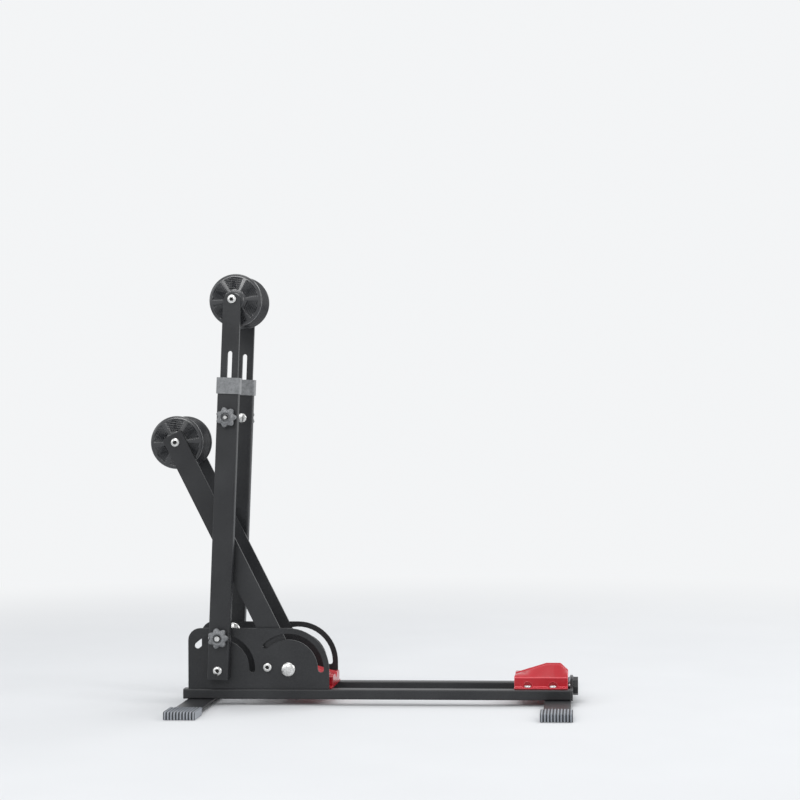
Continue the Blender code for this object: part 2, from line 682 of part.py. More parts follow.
def make_stop(nut):
    """The cross tube between the plates, on its own bolt."""
    place = (stop_x(), 0, PIVOT_HEIGHT + STOP_RISE)
    profile = ring_profile(STOP_TUBE_RADIUS - STOP_TUBE_WALL, STOP_TUBE_RADIUS,
                           2 * (PLATE_INNER - SEAT))
    turned("stop_tube", profile, BLACK_COAT, ROOT, place, 1, True)
    length = 2 * (PLATE_OUTER + SEAT) + NUT_HEIGHT
    profile = socket_bolt_profile(BUTTON_RADIUS, BUTTON_HEIGHT, BOLT_RADIUS, length)
    turned("stop_bolt", profile, ZINC, ROOT, (place[0], -(PLATE_OUTER + SEAT), place[2]), -1)
    y = PLATE_OUTER + SEAT + NUT_HEIGHT / 2
    add_mesh("stop_nut", nut.copy(), ZINC, ROOT, (place[0], y, place[2]), UPSTAND)


def make_uprights():
    """Two tubes with a plastic collar at the top of each."""
    outer = rounded_rect(TUBE_WIDTH / 2, TUBE_DEPTH / 2, TUBE_CORNER)
    inner = rounded_rect(TUBE_WIDTH / 2 - TUBE_WALL, TUBE_DEPTH / 2 - TUBE_WALL,
                         TUBE_INNER_CORNER)
    length = TUBE_ABOVE + TUBE_BELOW
    for label, side in SIDES:
        name = "upright_tube_" + label
        tube = add_mesh(name, prism_mesh(name, [outer, inner], length), BLACK_COAT, UPRIGHT,
                        (0, side * TUBE_MID_Y, (TUBE_ABOVE - TUBE_BELOW) / 2))
        holes = ((0.0, HOLE), (SLOT_RADIUS, HOLE), (HEIGHT_BOLT_UP, HEIGHT_BOLT_RADIUS + PLAY))
        for up, radius in holes:
            rod = rod_mesh("tube_hole", radius, TUBE_DEPTH + 2 * CUT_OVERRUN)
            cut(tube, cutter("tube_hole", rod, UPRIGHT, (0, side * TUBE_MID_Y, up), UPSTAND))
        make_collar("collar_" + label, side)


def make_collar(name, side):
    """A cap that grips the tube's outside and guides the slide bar."""
    middle = COLLAR_BOTTOM + COLLAR_HEIGHT / 2
    outline = rounded_rect(COLLAR_WIDTH / 2, COLLAR_DEPTH / 2, COLLAR_CORNER)
    guide = rounded_rect(BAR_WIDTH / 2 + PLAY, BAR_THICK / 2 + PLAY, COLLAR_GUIDE_CORNER)
    mesh = prism_mesh(name, [outline, guide], COLLAR_HEIGHT)
    collar = add_mesh(name, mesh, GREY_PLASTIC, UPRIGHT, (0, side * TUBE_MID_Y, middle))
    pocket = rounded_rect(TUBE_WIDTH / 2 + SEAT, TUBE_DEPTH / 2 + SEAT, TUBE_CORNER)
    socket_mesh = prism_mesh("collar_pocket", [pocket], COLLAR_HEIGHT)
    pocket_z = TUBE_ABOVE + SEAT - COLLAR_HEIGHT / 2
    cut(collar, cutter("collar_pocket", socket_mesh, UPRIGHT, (0, side * TUBE_MID_Y, pocket_z)))


def star_outline():
    """A seven-lobed outline from one wave."""
    points = []
    count = KNOB_LOBES * KNOB_POINTS_PER_LOBE
    for i in range(count):
        angle = 2 * math.pi * i / count
        radius = KNOB_RADIUS - KNOB_WAVE + KNOB_WAVE * math.cos(KNOB_LOBES * angle)
        points.append((radius * math.cos(angle), radius * math.sin(angle)))
    return points


def make_star_knob(name, up, side, bolt):
    """A star knob on a bolt that comes through the tube."""
    mesh = prism_mesh(name, [star_outline(), circle((0, 0), bolt + PLAY)], KNOB_HEIGHT)
    y = side * (TUBE_OUTER_Y + SEAT + KNOB_HEIGHT / 2)
    knob = add_mesh(name, mesh, KNOB_PLASTIC, UPRIGHT, (0, y, up), outward(side))
    recess = rod_mesh("knob_recess", KNOB_RECESS, 2 * KNOB_RECESS_DEPTH)
    face_y = side * (TUBE_OUTER_Y + SEAT + KNOB_HEIGHT)
    cut(knob, cutter("knob_recess", recess, UPRIGHT, (0, face_y, up), UPSTAND))


def make_clamps():
    """The bolts and star knobs that lock the tilt and the height."""
    for label, side in SIDES:
        reach = TUBE_OUTER_Y + SEAT + KNOB_HEIGHT - BOLT_END_INSET
        base = PLATE_INNER - SEAT
        profile = dome_bolt_profile(DOME_HEAD_RADIUS, DOME_HEAD_HEIGHT, BOLT_RADIUS, reach - base)
        turned("lock_bolt_" + label, profile, ZINC, UPRIGHT, (0, side * base, SLOT_RADIUS), -side)
        make_star_knob("lock_knob_" + label, SLOT_RADIUS, side, BOLT_RADIUS)
        base = TUBE_INNER_Y - SEAT
        profile = dome_bolt_profile(BUTTON_RADIUS, THIN_HEAD_HEIGHT, HEIGHT_BOLT_RADIUS,
                                    reach - base)
        turned("height_bolt_" + label, profile, ZINC, UPRIGHT, (0, side * base, HEIGHT_BOLT_UP),
               -side)
        make_star_knob("height_knob_" + label, HEIGHT_BOLT_UP, side, HEIGHT_BOLT_RADIUS)


def make_slide_bars():
    """Flat bars with a long slot, that carry the upper axle."""
    half = BAR_WIDTH / 2
    slot_half = HEIGHT_BOLT_RADIUS + BAR_SLOT_CLEARANCE
    outline = [(-half, BAR_BOTTOM), (half, BAR_BOTTOM)]
    outline += arc((0, UPPER_AXLE_UP + BAR_TOP_MARGIN - half), half, 0, 180,
                   ROUND_END_STEPS)
    slot_top = BAR_SLOT_TOP - slot_half
    slot_bottom = BAR_SLOT_TOP - BAR_SLOT_LENGTH + slot_half
    slot = arc((0, slot_top), slot_half, 0, 180, SLOT_END_STEPS)
    slot += arc((0, slot_bottom), slot_half, 180, 360, SLOT_END_STEPS)
    hole = circle((0, UPPER_AXLE_UP), AXLE_RADIUS + PLAY)
    for label, side in SIDES:
        plate("slide_bar_" + label, [outline, slot, hole], BAR_THICK, BLACK_COAT, UPRIGHT,
              (0, side * TUBE_MID_Y, 0))


def make_axle(prefix, frame, up, outer_y):
    """A long bolt with its head on the near side and its nut on the far side."""
    length = 2 * (outer_y + SEAT) + AXLE_NUT_HEIGHT
    profile = socket_bolt_profile(BUTTON_RADIUS, AXLE_HEAD_HEIGHT, AXLE_RADIUS, length)
    turned(prefix + "_axle", profile, ZINC, frame, (0, -(outer_y + SEAT), up), -1)
    nut = nut_mesh(prefix + "_axle_nut", AXLE_RADIUS + PLAY, AXLE_NUT_HEIGHT)
    y = outer_y + SEAT + AXLE_NUT_HEIGHT / 2
    add_mesh(prefix + "_axle_nut", nut, ZINC, frame, (0, y, up), UPSTAND)


def cone_points():
    """Ribbed cone from the rim's inner edge to the waist, for positive heights."""
    top_radius = ROLLER_RADIUS - ROLLER_RIM_STEP
    top_height = ROLLER_RIM_AT - ROLLER_LIP
    points = []
    count = 2 * ROLLER_RIBS
    for i in range(count + 1):
        share = i / count
        depth = ROLLER_RIB_DEPTH if i % 2 else 0.0
        radius = top_radius + (ROLLER_WAIST - top_radius) * share - depth
        height = top_height + (ROLLER_WAIST_HALF - top_height) * share
        points.append((radius, height))
    return points


def roller_profile():
    """Closed profile of a roller: hub, sloping end face, rim lip and ribbed cones."""
    bore = BUSH_RADIUS + PLAY
    upper = [(bore, ROLLER_HALF_LENGTH), (ROLLER_HUB_RADIUS, ROLLER_HALF_LENGTH),
             (ROLLER_HUB_RADIUS + ROLLER_HUB_FLARE, ROLLER_HALF_LENGTH - ROLLER_HUB_CHAMFER),
             (ROLLER_RADIUS - ROLLER_RIM_BAND, ROLLER_RIM_AT + ROLLER_RIM_CREST),
             (ROLLER_RADIUS - ROLLER_RIM_EDGE, ROLLER_RIM_AT - ROLLER_RIM_CREST),
             (ROLLER_RADIUS, ROLLER_RIM_AT - ROLLER_RIM_SIDE),
             (ROLLER_RADIUS, ROLLER_RIM_AT - ROLLER_LIP + ROLLER_RIM_EDGE)]
    upper += cone_points()
    lower = [(radius, -height) for radius, height in reversed(upper)]
    return upper + lower


def make_roller(prefix, frame, up):
    """A roller and the two bushes pressed in its hub."""
    turned(prefix + "_roller", roller_profile(), ROLLER_PLASTIC, frame, (0, 0, up), 1, True,
           ROLLER_STEPS)
    bush = turned_mesh(prefix + "_bush", ring_profile(AXLE_RADIUS + PLAY, BUSH_RADIUS,
                                                      BUSH_LENGTH), True)
    y = ROLLER_HALF_LENGTH - BUSH_LENGTH / 2
    for label, side in SIDES:
        add_mesh(prefix + "_bush_" + label, bush.copy(), BRONZE, frame, (0, side * y, up), UPSTAND)


def make_upper_spacers():
    """Sleeves that keep the upper roller centred between the slide bars."""
    inner_y = ROLLER_HALF_LENGTH + SEAT
    outer_y = TUBE_MID_Y - BAR_THICK / 2 - SEAT
    spacer = turned_mesh("spacer", ring_profile(AXLE_RADIUS + PLAY, SPACER_RADIUS,
                                                outer_y - inner_y), True)
    y = (inner_y + outer_y) / 2
    for label, side in SIDES:
        add_mesh("upper_spacer_" + label, spacer.copy(), BLACK_COAT, UPRIGHT,
                 (0, side * y, UPPER_AXLE_UP), UPSTAND)


def make_arms():
    """Flat bars with a round foot and a square tip."""
    half = ARM_WIDTH / 2
    tip = LOWER_AXLE_OUT + ARM_TIP_MARGIN
    outline = arc((0, 0), half, 180, 360, ROUND_END_STEPS) + [(half, tip), (-half, tip)]
    loops = [outline, circle((0, 0), HOLE), circle((0, LOWER_AXLE_OUT), AXLE_RADIUS + PLAY)]
    for label, side in SIDES:
        plate("arm_" + label, loops, ARM_THICK, BLACK_COAT, ARM, (0, side * ARM_MID_Y, 0))


make_rails()
make_feet()
make_side_plates()
make_pad("wheel_pad_right", PAD_RIGHT_X, 1)
make_pad("wheel_pad_left", PAD_LEFT_X, -1)
make_end_plate()
make_base_fasteners()
make_uprights()
make_clamps()
make_slide_bars()
make_axle("upper", UPRIGHT, UPPER_AXLE_UP, TUBE_MID_Y + BAR_THICK / 2)
make_roller("upper", UPRIGHT, UPPER_AXLE_UP)
make_upper_spacers()
make_arms()
make_axle("lower", ARM, LOWER_AXLE_OUT, ARM_OUTER_Y)
make_roller("lower", ARM, LOWER_AXLE_OUT)

bpy.context.view_layer.update()
PLACES = (("upright pivot", UPRIGHT, 0), ("upper axle", UPRIGHT, UPPER_AXLE_UP),
          ("lock bolt", UPRIGHT, SLOT_RADIUS), ("height bolt", UPRIGHT, HEIGHT_BOLT_UP),
          ("arm pivot", ARM, 0), ("lower axle", ARM, LOWER_AXLE_OUT))
for title, frame, up in PLACES:
    place = frame.matrix_world.translation + frame.matrix_world.col[2].xyz * up
    print(title, [round(value, 6) for value in place])
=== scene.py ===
# %% [markdown]
# A floor stand with two rollers and two red pads, dressed for its portrait.
# The frame that is loaded here is the working model: every tube, plate, bolt and roller
# at its real size, grouped in bodies that move. This file adds what the eye wants: fine
# ribs, driver sockets, soft edges and finishes. Nothing in it moves or resizes the frame.

import json
import math

import bmesh
import bpy
from mathutils import Euler, Matrix, Vector


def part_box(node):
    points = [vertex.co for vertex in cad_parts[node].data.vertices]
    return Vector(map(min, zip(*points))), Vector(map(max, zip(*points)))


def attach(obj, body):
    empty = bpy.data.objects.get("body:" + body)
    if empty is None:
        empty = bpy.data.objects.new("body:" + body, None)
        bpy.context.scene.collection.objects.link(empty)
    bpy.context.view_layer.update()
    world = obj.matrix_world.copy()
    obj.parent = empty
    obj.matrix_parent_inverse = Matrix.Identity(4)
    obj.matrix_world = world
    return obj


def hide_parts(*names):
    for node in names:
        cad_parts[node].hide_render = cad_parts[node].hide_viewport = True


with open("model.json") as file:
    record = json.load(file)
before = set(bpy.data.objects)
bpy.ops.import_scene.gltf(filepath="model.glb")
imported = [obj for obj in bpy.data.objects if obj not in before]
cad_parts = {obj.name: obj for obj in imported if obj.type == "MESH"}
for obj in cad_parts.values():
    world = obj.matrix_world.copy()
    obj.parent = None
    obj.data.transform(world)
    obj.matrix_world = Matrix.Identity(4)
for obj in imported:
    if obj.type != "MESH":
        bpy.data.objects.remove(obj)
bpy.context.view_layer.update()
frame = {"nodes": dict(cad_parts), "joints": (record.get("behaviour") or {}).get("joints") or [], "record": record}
NODES = frame["nodes"]
JOINTS = {joint["name"]: joint for joint in frame["joints"]}

# %% [markdown]
# The camera stands low and well to the right of the stand: its near side is seen almost
# square on, and the far side shows beyond it, moved to the right. A small turn to the
# left and a small lens shift together place the stand left of centre. A shift alone would
# do it too, but a large one would push the views from other sides out of the frame.
# A small roll makes the rails lie as they do in the photograph.

# %% Camera
LENS_MM = 79.262
SENSOR_MM = 36.0
CAMERA_AT = Vector((0.3183, -2.522, 0.3889))
TURN_LEFT_DEG = 4.458
LOOK_UP_DEG = 0.949
ROLL_DEG = -0.402
SHIFT_X = -0.06
lens = bpy.data.cameras.new("camera")
lens.lens = LENS_MM
lens.sensor_width = SENSOR_MM
lens.shift_x = SHIFT_X
lens.clip_end = 60.0
camera = bpy.data.objects.new("camera", lens)
camera.location = CAMERA_AT
aim = Euler((math.radians(90 + LOOK_UP_DEG), 0, math.radians(TURN_LEFT_DEG))).to_matrix()
camera.rotation_euler = (aim @ Matrix.Rotation(math.radians(ROLL_DEG), 3, "Z")).to_euler()
bpy.context.scene.collection.objects.link(camera)
bpy.context.scene.camera = camera
bpy.context.scene.view_settings.view_transform = "Standard"
print("camera at", [round(value, 3) for value in CAMERA_AT])

# %% [markdown]
# The studio is a pale floor, a pale world and five soft lamps. The object is mostly
# black, so its shape is told by what it reflects: a wide lamp overhead and a long strip
# behind it draw the bright lines along its edges. One high in front is mirrored by the
# rollers' end faces, and one lamp on each side keeps the flanks readable. The backdrop
# has its own brightness for the camera and for mirror reflections, so it can be nearly
# white without washing out the colours.


# %% World and lamps
BACKDROP = (0.90, 0.91, 0.92)
EVEN_LIGHT = (0.90, 0.93, 0.97)
EVEN_STRENGTH = 0.62


def add_lamp(name, place, target, size, watts):
    """A soft lamp of a width and a height, aimed at a point."""
    light = bpy.data.lights.new(name, "AREA")
    light.shape = "RECTANGLE"
    light.size, light.size_y = size
    light.energy = watts
    lamp = bpy.data.objects.new(name, light)
    lamp.location = place
    lamp.rotation_euler = (Vector(target) - Vector(place)).to_track_quat("-Z", "Y").to_euler()
    bpy.context.scene.collection.objects.link(lamp)
    return lamp


def studio_world():
    """Even light, and a paler backdrop where the camera or a reflection looks."""
    world = bpy.data.worlds.new("studio")
    world.use_nodes = True
    tree = world.node_tree
    tree.nodes.clear()
    output = tree.nodes.new("ShaderNodeOutputWorld")
    even = tree.nodes.new("ShaderNodeBackground")
    even.inputs["Color"].default_value = (*EVEN_LIGHT, 1)
    even.inputs["Strength"].default_value = EVEN_STRENGTH
    seen = tree.nodes.new("ShaderNodeBackground")
    seen.inputs["Color"].default_value = (*BACKDROP, 1)
    path = tree.nodes.new("ShaderNodeLightPath")
    mix = tree.nodes.new("ShaderNodeMixShader")
    factor = path.outputs["Is Camera Ray"]
    for name in ("Is Glossy Ray", "Is Transmission Ray"):
        either = tree.nodes.new("ShaderNodeMath")
        either.operation = "MAXIMUM"
        tree.links.new(factor, either.inputs[0])
        tree.links.new(path.outputs[name], either.inputs[1])
        factor = either.outputs[0]
    tree.links.new(factor, mix.inputs[0])
    tree.links.new(even.outputs[0], mix.inputs[1])
    tree.links.new(seen.outputs[0], mix.inputs[2])
    tree.links.new(mix.outputs[0], output.inputs["Surface"])
    bpy.context.scene.world = world


studio_world()
AIM = (0.0, 0.0, 0.28)
add_lamp("overhead", (-0.2, -0.3, 2.3), AIM, (1.6, 1.2), 16)
add_lamp("strip_behind", (1.3, 1.5, 1.9), AIM, (1.8, 0.3), 16)
add_lamp("front_high", (-0.64, -2.6, 1.55), AIM, (0.9, 0.6), 14)
add_lamp("left", (-2.1, -1.5, 1.3), AIM, (1.2, 1.2), 8)
add_lamp("right", (2.2, -0.9, 1.1), AIM, (0.5, 1.4), 12)
print("lamps:", len(bpy.data.lights))

# %% [markdown]
# The floor takes the stand's shadow near it. Farther out, its picture fades into the
# backdrop's colour, so that no horizon line cuts through the object. The fade follows the
# distance from the stand on the floor itself, and only the camera sees it.


# %% Floor
FLOOR_WIDTH = 16.0
FLOOR_GAP = 0.0004
FLOOR_TONES = ((0.74, 0.745, 0.75), (0.78, 0.785, 0.79))
FADE_FROM = 0.6
FADE_TO = 2.2


def floor_finish():
    """A pale matt floor that melts into the backdrop away from the stand."""
    made = bpy.data.materials.new("floor_pale")
    made.use_nodes = True
    tree = made.node_tree
    matt = tree.nodes["Principled BSDF"]
    matt.inputs["Roughness"].default_value = 0.85
    matt.inputs["Specular IOR Level"].default_value = 0.1
    place = tree.nodes.new("ShaderNodeTexCoord")
    cloud = tree.nodes.new("ShaderNodeTexNoise")
    cloud.inputs["Scale"].default_value = 5.0
    tone = tree.nodes.new("ShaderNodeValToRGB")
    for element, colour in zip(tone.color_ramp.elements, FLOOR_TONES):
        element.color = (*colour, 1)
    tree.links.new(place.outputs["Object"], cloud.inputs["Vector"])
    tree.links.new(cloud.outputs["Fac"], tone.inputs["Fac"])
    tree.links.new(tone.outputs["Color"], matt.inputs["Base Color"])
    reach = tree.nodes.new("ShaderNodeVectorMath")
    reach.operation = "LENGTH"
    fade = tree.nodes.new("ShaderNodeMapRange")
    fade.interpolation_type = "SMOOTHSTEP"
    fade.inputs["From Min"].default_value = FADE_FROM
    fade.inputs["From Max"].default_value = FADE_TO
    tree.links.new(place.outputs["Object"], reach.inputs[0])
    tree.links.new(reach.outputs["Value"], fade.inputs["Value"])
    path = tree.nodes.new("ShaderNodeLightPath")
    share = tree.nodes.new("ShaderNodeMath")
    share.operation = "MULTIPLY"
    tree.links.new(fade.outputs["Result"], share.inputs[0])
    tree.links.new(path.outputs["Is Camera Ray"], share.inputs[1])
    glow = tree.nodes.new("ShaderNodeEmission")
    glow.inputs["Color"].default_value = (*BACKDROP, 1)
    mix = tree.nodes.new("ShaderNodeMixShader")
    tree.links.new(share.outputs[0], mix.inputs[0])
    tree.links.new(matt.outputs[0], mix.inputs[1])
    tree.links.new(glow.outputs[0], mix.inputs[2])
    tree.links.new(mix.outputs[0], tree.nodes["Material Output"].inputs["Surface"])
    return made


bpy.ops.mesh.primitive_plane_add(size=FLOOR_WIDTH, location=(0, 0, -FLOOR_GAP))
floor = bpy.context.object
floor.name = "studio_floor"
floor.data.materials.append(floor_finish())
print("floor ready")

# %% [markdown]
# Every finish comes from the same short recipe: a base colour that drifts a little
# between two tones, a roughness that drifts too, and a fine bump. Real coatings are never
# one flat colour, and these three drifts are most of what tells powder coat from moulded
# plastic. The noise is read in object space, so its grain has a real size in metres and
# is the same from every side.


# %% Recipe for a finish
FINE_SHARE = 0.45
RAMP_LOW = 0.34
RAMP_HIGH = 0.66
GRAIN_HEIGHT = 0.0002


def finish(name, dark, light, rough, grain, bump, metal=0.0, coat=0.0, rough_spread=0.08,
           drift=14.0, gloss=0.5):
    """A surface whose tone, roughness and height all vary a little."""
    made = bpy.data.materials.new(name)
    made.use_nodes = True
    tree = made.node_tree
    shader = tree.nodes["Principled BSDF"]
    shader.inputs["Metallic"].default_value = metal
    shader.inputs["Coat Weight"].default_value = coat
    shader.inputs["Specular IOR Level"].default_value = gloss
    place = tree.nodes.new("ShaderNodeTexCoord")
    wide = tree.nodes.new("ShaderNodeTexNoise")
    wide.inputs["Scale"].default_value = drift
    wide.inputs["Detail"].default_value = 4.0
    fine = tree.nodes.new("ShaderNodeTexNoise")
    fine.inputs["Scale"].default_value = grain
    fine.inputs["Detail"].default_value = 3.0
    for noise in (wide, fine):
        tree.links.new(place.outputs["Object"], noise.inputs["Vector"])
    blend = tree.nodes.new("ShaderNodeMath")
    blend.operation = "MULTIPLY_ADD"
    blend.inputs[1].default_value = FINE_SHARE
    tree.links.new(fine.outputs["Fac"], blend.inputs[0])
    rest = tree.nodes.new("ShaderNodeMath")
    rest.operation = "MULTIPLY"
    rest.inputs[1].default_value = 1 - FINE_SHARE
    tree.links.new(wide.outputs["Fac"], rest.inputs[0])
    tree.links.new(rest.outputs[0], blend.inputs[2])
    tone = tree.nodes.new("ShaderNodeValToRGB")
    tone.color_ramp.elements[0].position = RAMP_LOW
    tone.color_ramp.elements[0].color = (*dark, 1)
    tone.color_ramp.elements[1].position = RAMP_HIGH
    tone.color_ramp.elements[1].color = (*light, 1)
    tree.links.new(blend.outputs[0], tone.inputs["Fac"])
    tree.links.new(tone.outputs["Color"], shader.inputs["Base Color"])
    spread = tree.nodes.new("ShaderNodeMapRange")
    spread.inputs["To Min"].default_value = rough - rough_spread
    spread.inputs["To Max"].default_value = rough + rough_spread
    tree.links.new(blend.outputs[0], spread.inputs["Value"])
    tree.links.new(spread.outputs["Result"], shader.inputs["Roughness"])
    relief = tree.nodes.new("ShaderNodeBump")
    relief.inputs["Strength"].default_value = bump
    relief.inputs["Distance"].default_value = GRAIN_HEIGHT
    tree.links.new(fine.outputs["Fac"], relief.inputs["Height"])
    tree.links.new(relief.outputs["Normal"], shader.inputs["Normal"])
    return made


# %% [markdown]
# Black powder coat covers every steel tube and plate. It has a fine orange-peel grain and
# is nearer charcoal than black. The rollers are satin black plastic with a smoother grain,
# so their ribs catch the light. The pads are glossy red, the feet grey rubber, and the
# bolts bright zinc. Coat, collar and pad each have a second tone for their edges, lighter
# and smoother: a painted highlight along each bevel. Sockets are painted near-black as
# shade, and the valleys of the rubber caps dark, as painted shade too.

# %% Palette
COAT = finish("black_powder_coat", (0.015, 0.0155, 0.017), (0.034, 0.035, 0.037), 0.42, 750.0,
              0.45, gloss=0.34)
# Lighter tone for the coat's bevelled edges: a painted highlight.
COAT_EDGE_HIGHLIGHT = finish("coat_painted_edge_highlight", (0.16, 0.16, 0.165), (0.30, 0.30, 0.305), 0.24, 1500.0, 0.2,
                   drift=60.0)
ROLLER = finish("roller_plastic", (0.016, 0.017, 0.019), (0.030, 0.031, 0.034), 0.22, 900.0,
                0.10, gloss=0.75, rough_spread=0.05)
RED = finish("red_plastic", (0.40, 0.004, 0.012), (0.52, 0.009, 0.021), 0.24, 700.0, 0.06,
             coat=0.1, rough_spread=0.04, gloss=0.4)
# Paler red for the pads' bevelled edges: a painted highlight.
RED_EDGE_HIGHLIGHT = finish("red_plastic_painted_edge_highlight", (0.66, 0.05, 0.07), (0.78, 0.10, 0.12), 0.20, 700.0, 0.05)
RUBBER = finish("cap_rubber", (0.24, 0.26, 0.29), (0.42, 0.44, 0.47), 0.50, 800.0, 0.4)
# Near-black tone for the caps' rib valleys: painted shade.
RUBBER_VALLEY_SHADE = finish("cap_rubber_painted_valley_shade", (0.030, 0.032, 0.036), (0.075, 0.078, 0.084), 0.75,
                       800.0, 0.4)
COLLAR = finish("collar_plastic", (0.15, 0.155, 0.16), (0.27, 0.275, 0.28), 0.40, 500.0, 0.3,
                drift=160.0)
# Pale grey for the collar's bevelled edges: a painted highlight.
COLLAR_EDGE_HIGHLIGHT = finish("collar_painted_edge_highlight", (0.48, 0.485, 0.49), (0.62, 0.625, 0.63), 0.28, 700.0, 0.1)
KNOB = finish("knob_plastic", (0.12, 0.124, 0.13), (0.24, 0.245, 0.25), 0.26, 900.0, 0.15,
              drift=160.0)
KNOB_BLACK = finish("end_knob_plastic", (0.014, 0.014, 0.015), (0.028, 0.028, 0.030), 0.34,
                    900.0, 0.15, gloss=0.4)
ZINC = finish("zinc", (0.46, 0.46, 0.45), (0.82, 0.82, 0.81), 0.26, 900.0, 0.25, metal=1.0,
              drift=420.0)
# Near-black tone for driver sockets and screw recesses: painted shade.
SOCKET_SHADE = finish("socket_painted_shade", (0.012, 0.012, 0.012), (0.035, 0.034, 0.032), 0.5, 900.0, 0.2)
NYLON = finish("nylon", (0.50, 0.50, 0.46), (0.62, 0.62, 0.58), 0.45, 900.0, 0.10)
BRONZE = finish("bronze", (0.34, 0.20, 0.09), (0.48, 0.30, 0.15), 0.38, 1200.0, 0.20, metal=1.0)
print("finishes:", len(bpy.data.materials))

# %% [markdown]
# The frame's own tubes, bars and plates already have the right shape. They get their
# finish, and a narrow Bevel: no real edge is perfectly sharp, and the thin bright line
# along each edge in the photograph is the light caught by that small radius. A modifier
# does this without touching the mesh.

# %% Dress the frame's pieces
SLOT_FINISH = {"black_coat": COAT, "cap_rubber": RUBBER, "red_plastic": RED,
               "collar_plastic": COLLAR, "knob_plastic": KNOB, "roller_plastic": ROLLER,
               "zinc": ZINC, "nylon": NYLON, "bronze": BRONZE}
EDGE_WIDTH = {"black_coat": 0.0006, "cap_rubber": 0.0004, "red_plastic": 0.0008,
              "collar_plastic": 0.0010, "knob_plastic": 0.0006}
# The edge finishes are painted highlights on the bevel's faces.
EDGE_HIGHLIGHT_FINISH = {"black_coat": COAT_EDGE_HIGHLIGHT, "red_plastic": RED_EDGE_HIGHLIGHT, "collar_plastic": COLLAR_EDGE_HIGHLIGHT}


def soften_edges(piece, slot):
    """A narrow round along every sharp edge, in the slot's edge tone where it has one: a lighter painted
    highlight.
    """
    edge = piece.modifiers.new("soft_edges", "BEVEL")
    edge.width = EDGE_WIDTH[slot]
    edge.segments = 2
    edge.limit_method = "ANGLE"
    edge.angle_limit = math.radians(40)
    edge.harden_normals = True
    edge.use_clamp_overlap = True
    if slot in EDGE_HIGHLIGHT_FINISH:
        piece.data.materials.append(EDGE_HIGHLIGHT_FINISH[slot])
        edge.material = len(piece.data.materials) - 1


for part in frame["record"]["subparts"]:
    node = NODES[part["node"]]
    slot = part["material_slot"]
    node.data.materials.clear()
    node.data.materials.append(SLOT_FINISH[slot])
    if slot in EDGE_WIDTH:
        soften_edges(node, slot)
NODES["end_knob"].data.materials[0] = KNOB_BLACK

# %% [markdown]
# Rollers, knobs and bolt heads are all made by one idea: a stack of rings round an axis.
# Each ring has a height and a radius that may change with the angle, so a circle can turn
# into a star or a hexagon from one ring to the next. It is a lathe whose tool may wobble.


# %% Lathe with a wobbling tool
def lathe(name, rings, steps, axis_at, outward, materials, smooth=32.0, lift=None, recess=0):
    """Rings of (radius rule, height) round an axis; a rule is a number or takes an angle.

    The first rings, as many as recess says, take the second material.
    """
    shape = bmesh.new()
    loops = []
    for index, (rule, height) in enumerate(rings):
        loop = []
        for i in range(steps):
            angle = 2 * math.pi * i / steps
            radius = rule(angle) if callable(rule) else rule
            rise = height + (lift(index, radius, angle) if lift else 0.0)
            loop.append(shape.verts.new((radius * math.cos(angle), radius * math.sin(angle),
                                         rise)))
        loops.append(loop)
    for index, (upper, lower) in enumerate(zip(loops, loops[1:])):
        for i in range(steps):
            j = (i + 1) % steps
            face = shape.faces.new((upper[i], lower[i], lower[j], upper[j]))
            face.material_index = 1 if index < recess else 0
    first = shape.faces.new(loops[0])
    first.material_index = 1 if recess else 0
    shape.faces.new(list(reversed(loops[-1])))
    turn = Vector(outward).to_track_quat("Z", "Y").to_matrix().to_4x4()
    bmesh.ops.transform(shape, matrix=Matrix.Translation(axis_at) @ turn, verts=shape.verts)
    bmesh.ops.recalc_face_normals(shape, faces=shape.faces)
    mesh = bpy.data.meshes.new(name)
    shape.to_mesh(mesh)
    shape.free()
    mesh.shade_smooth()
    mesh.set_sharp_from_angle(angle=math.radians(smooth))
    for material in materials:
        mesh.materials.append(material)
    piece = bpy.data.objects.new(name, mesh)
    bpy.context.scene.collection.objects.link(piece)
    return piece


def open_bore(piece, smooth):
    """Swap a lathe piece's two end caps for the wall of its bore."""
    shape = bmesh.new()
    shape.from_mesh(piece.data)
    caps = [face for face in shape.faces if len(face.verts) > 4]
    edges = [edge for face in caps for edge in face.edges]
    bmesh.ops.delete(shape, geom=caps, context="FACES_ONLY")
    bmesh.ops.bridge_loops(shape, edges=edges)
    bmesh.ops.recalc_face_normals(shape, faces=shape.faces)
    shape.to_mesh(piece.data)
    shape.free()
    piece.data.shade_smooth()
    piece.data.set_sharp_from_angle(angle=math.radians(smooth))


def hexagon(flats):
    """Radius rule of a hexagon from its width across flats."""
    sector = math.pi / 3
    return lambda angle: flats / 2 / math.cos((angle % sector) - sector / 2)


# %% [markdown]
# Each fastener is measured from the frame's own bolt, so it sits exactly where the bolt
# does: the box gives its two ends, and the joint's places give its line. A button head
# has a hexagon socket sunk in its top, a carriage head is a plain low dome, and a nut is
# a hexagon with its corners turned off. The sockets are real hollows, because they are
# read from every side, and their floor and walls are also painted near-black as shade.


# %% Bolts
BOLT_STEPS = 36
SHANK_8 = 0.004
SHANK_6 = 0.003
SHANK_TAPER = 0.0005
SOCKET_FLATS = 0.0050
SOCKET_DEPTH = 0.0034
SOCKET_EDGE = 0.0003
SOCKET_TIP = 0.0012
BUTTON_LAND = 0.0008
BUTTON_SIDE = 0.18
DOME_SWEEP = 80
DOME_FLAT = 2


def dome_rings(radius, height):
    """A carriage bolt's plain low dome."""
    rings = []
    for i in range(9):
        angle = math.radians(DOME_FLAT + DOME_SWEEP * i / 8)
        rings.append((radius * math.sin(angle), height * math.cos(angle)))
    return rings + [(radius, 0.0)]


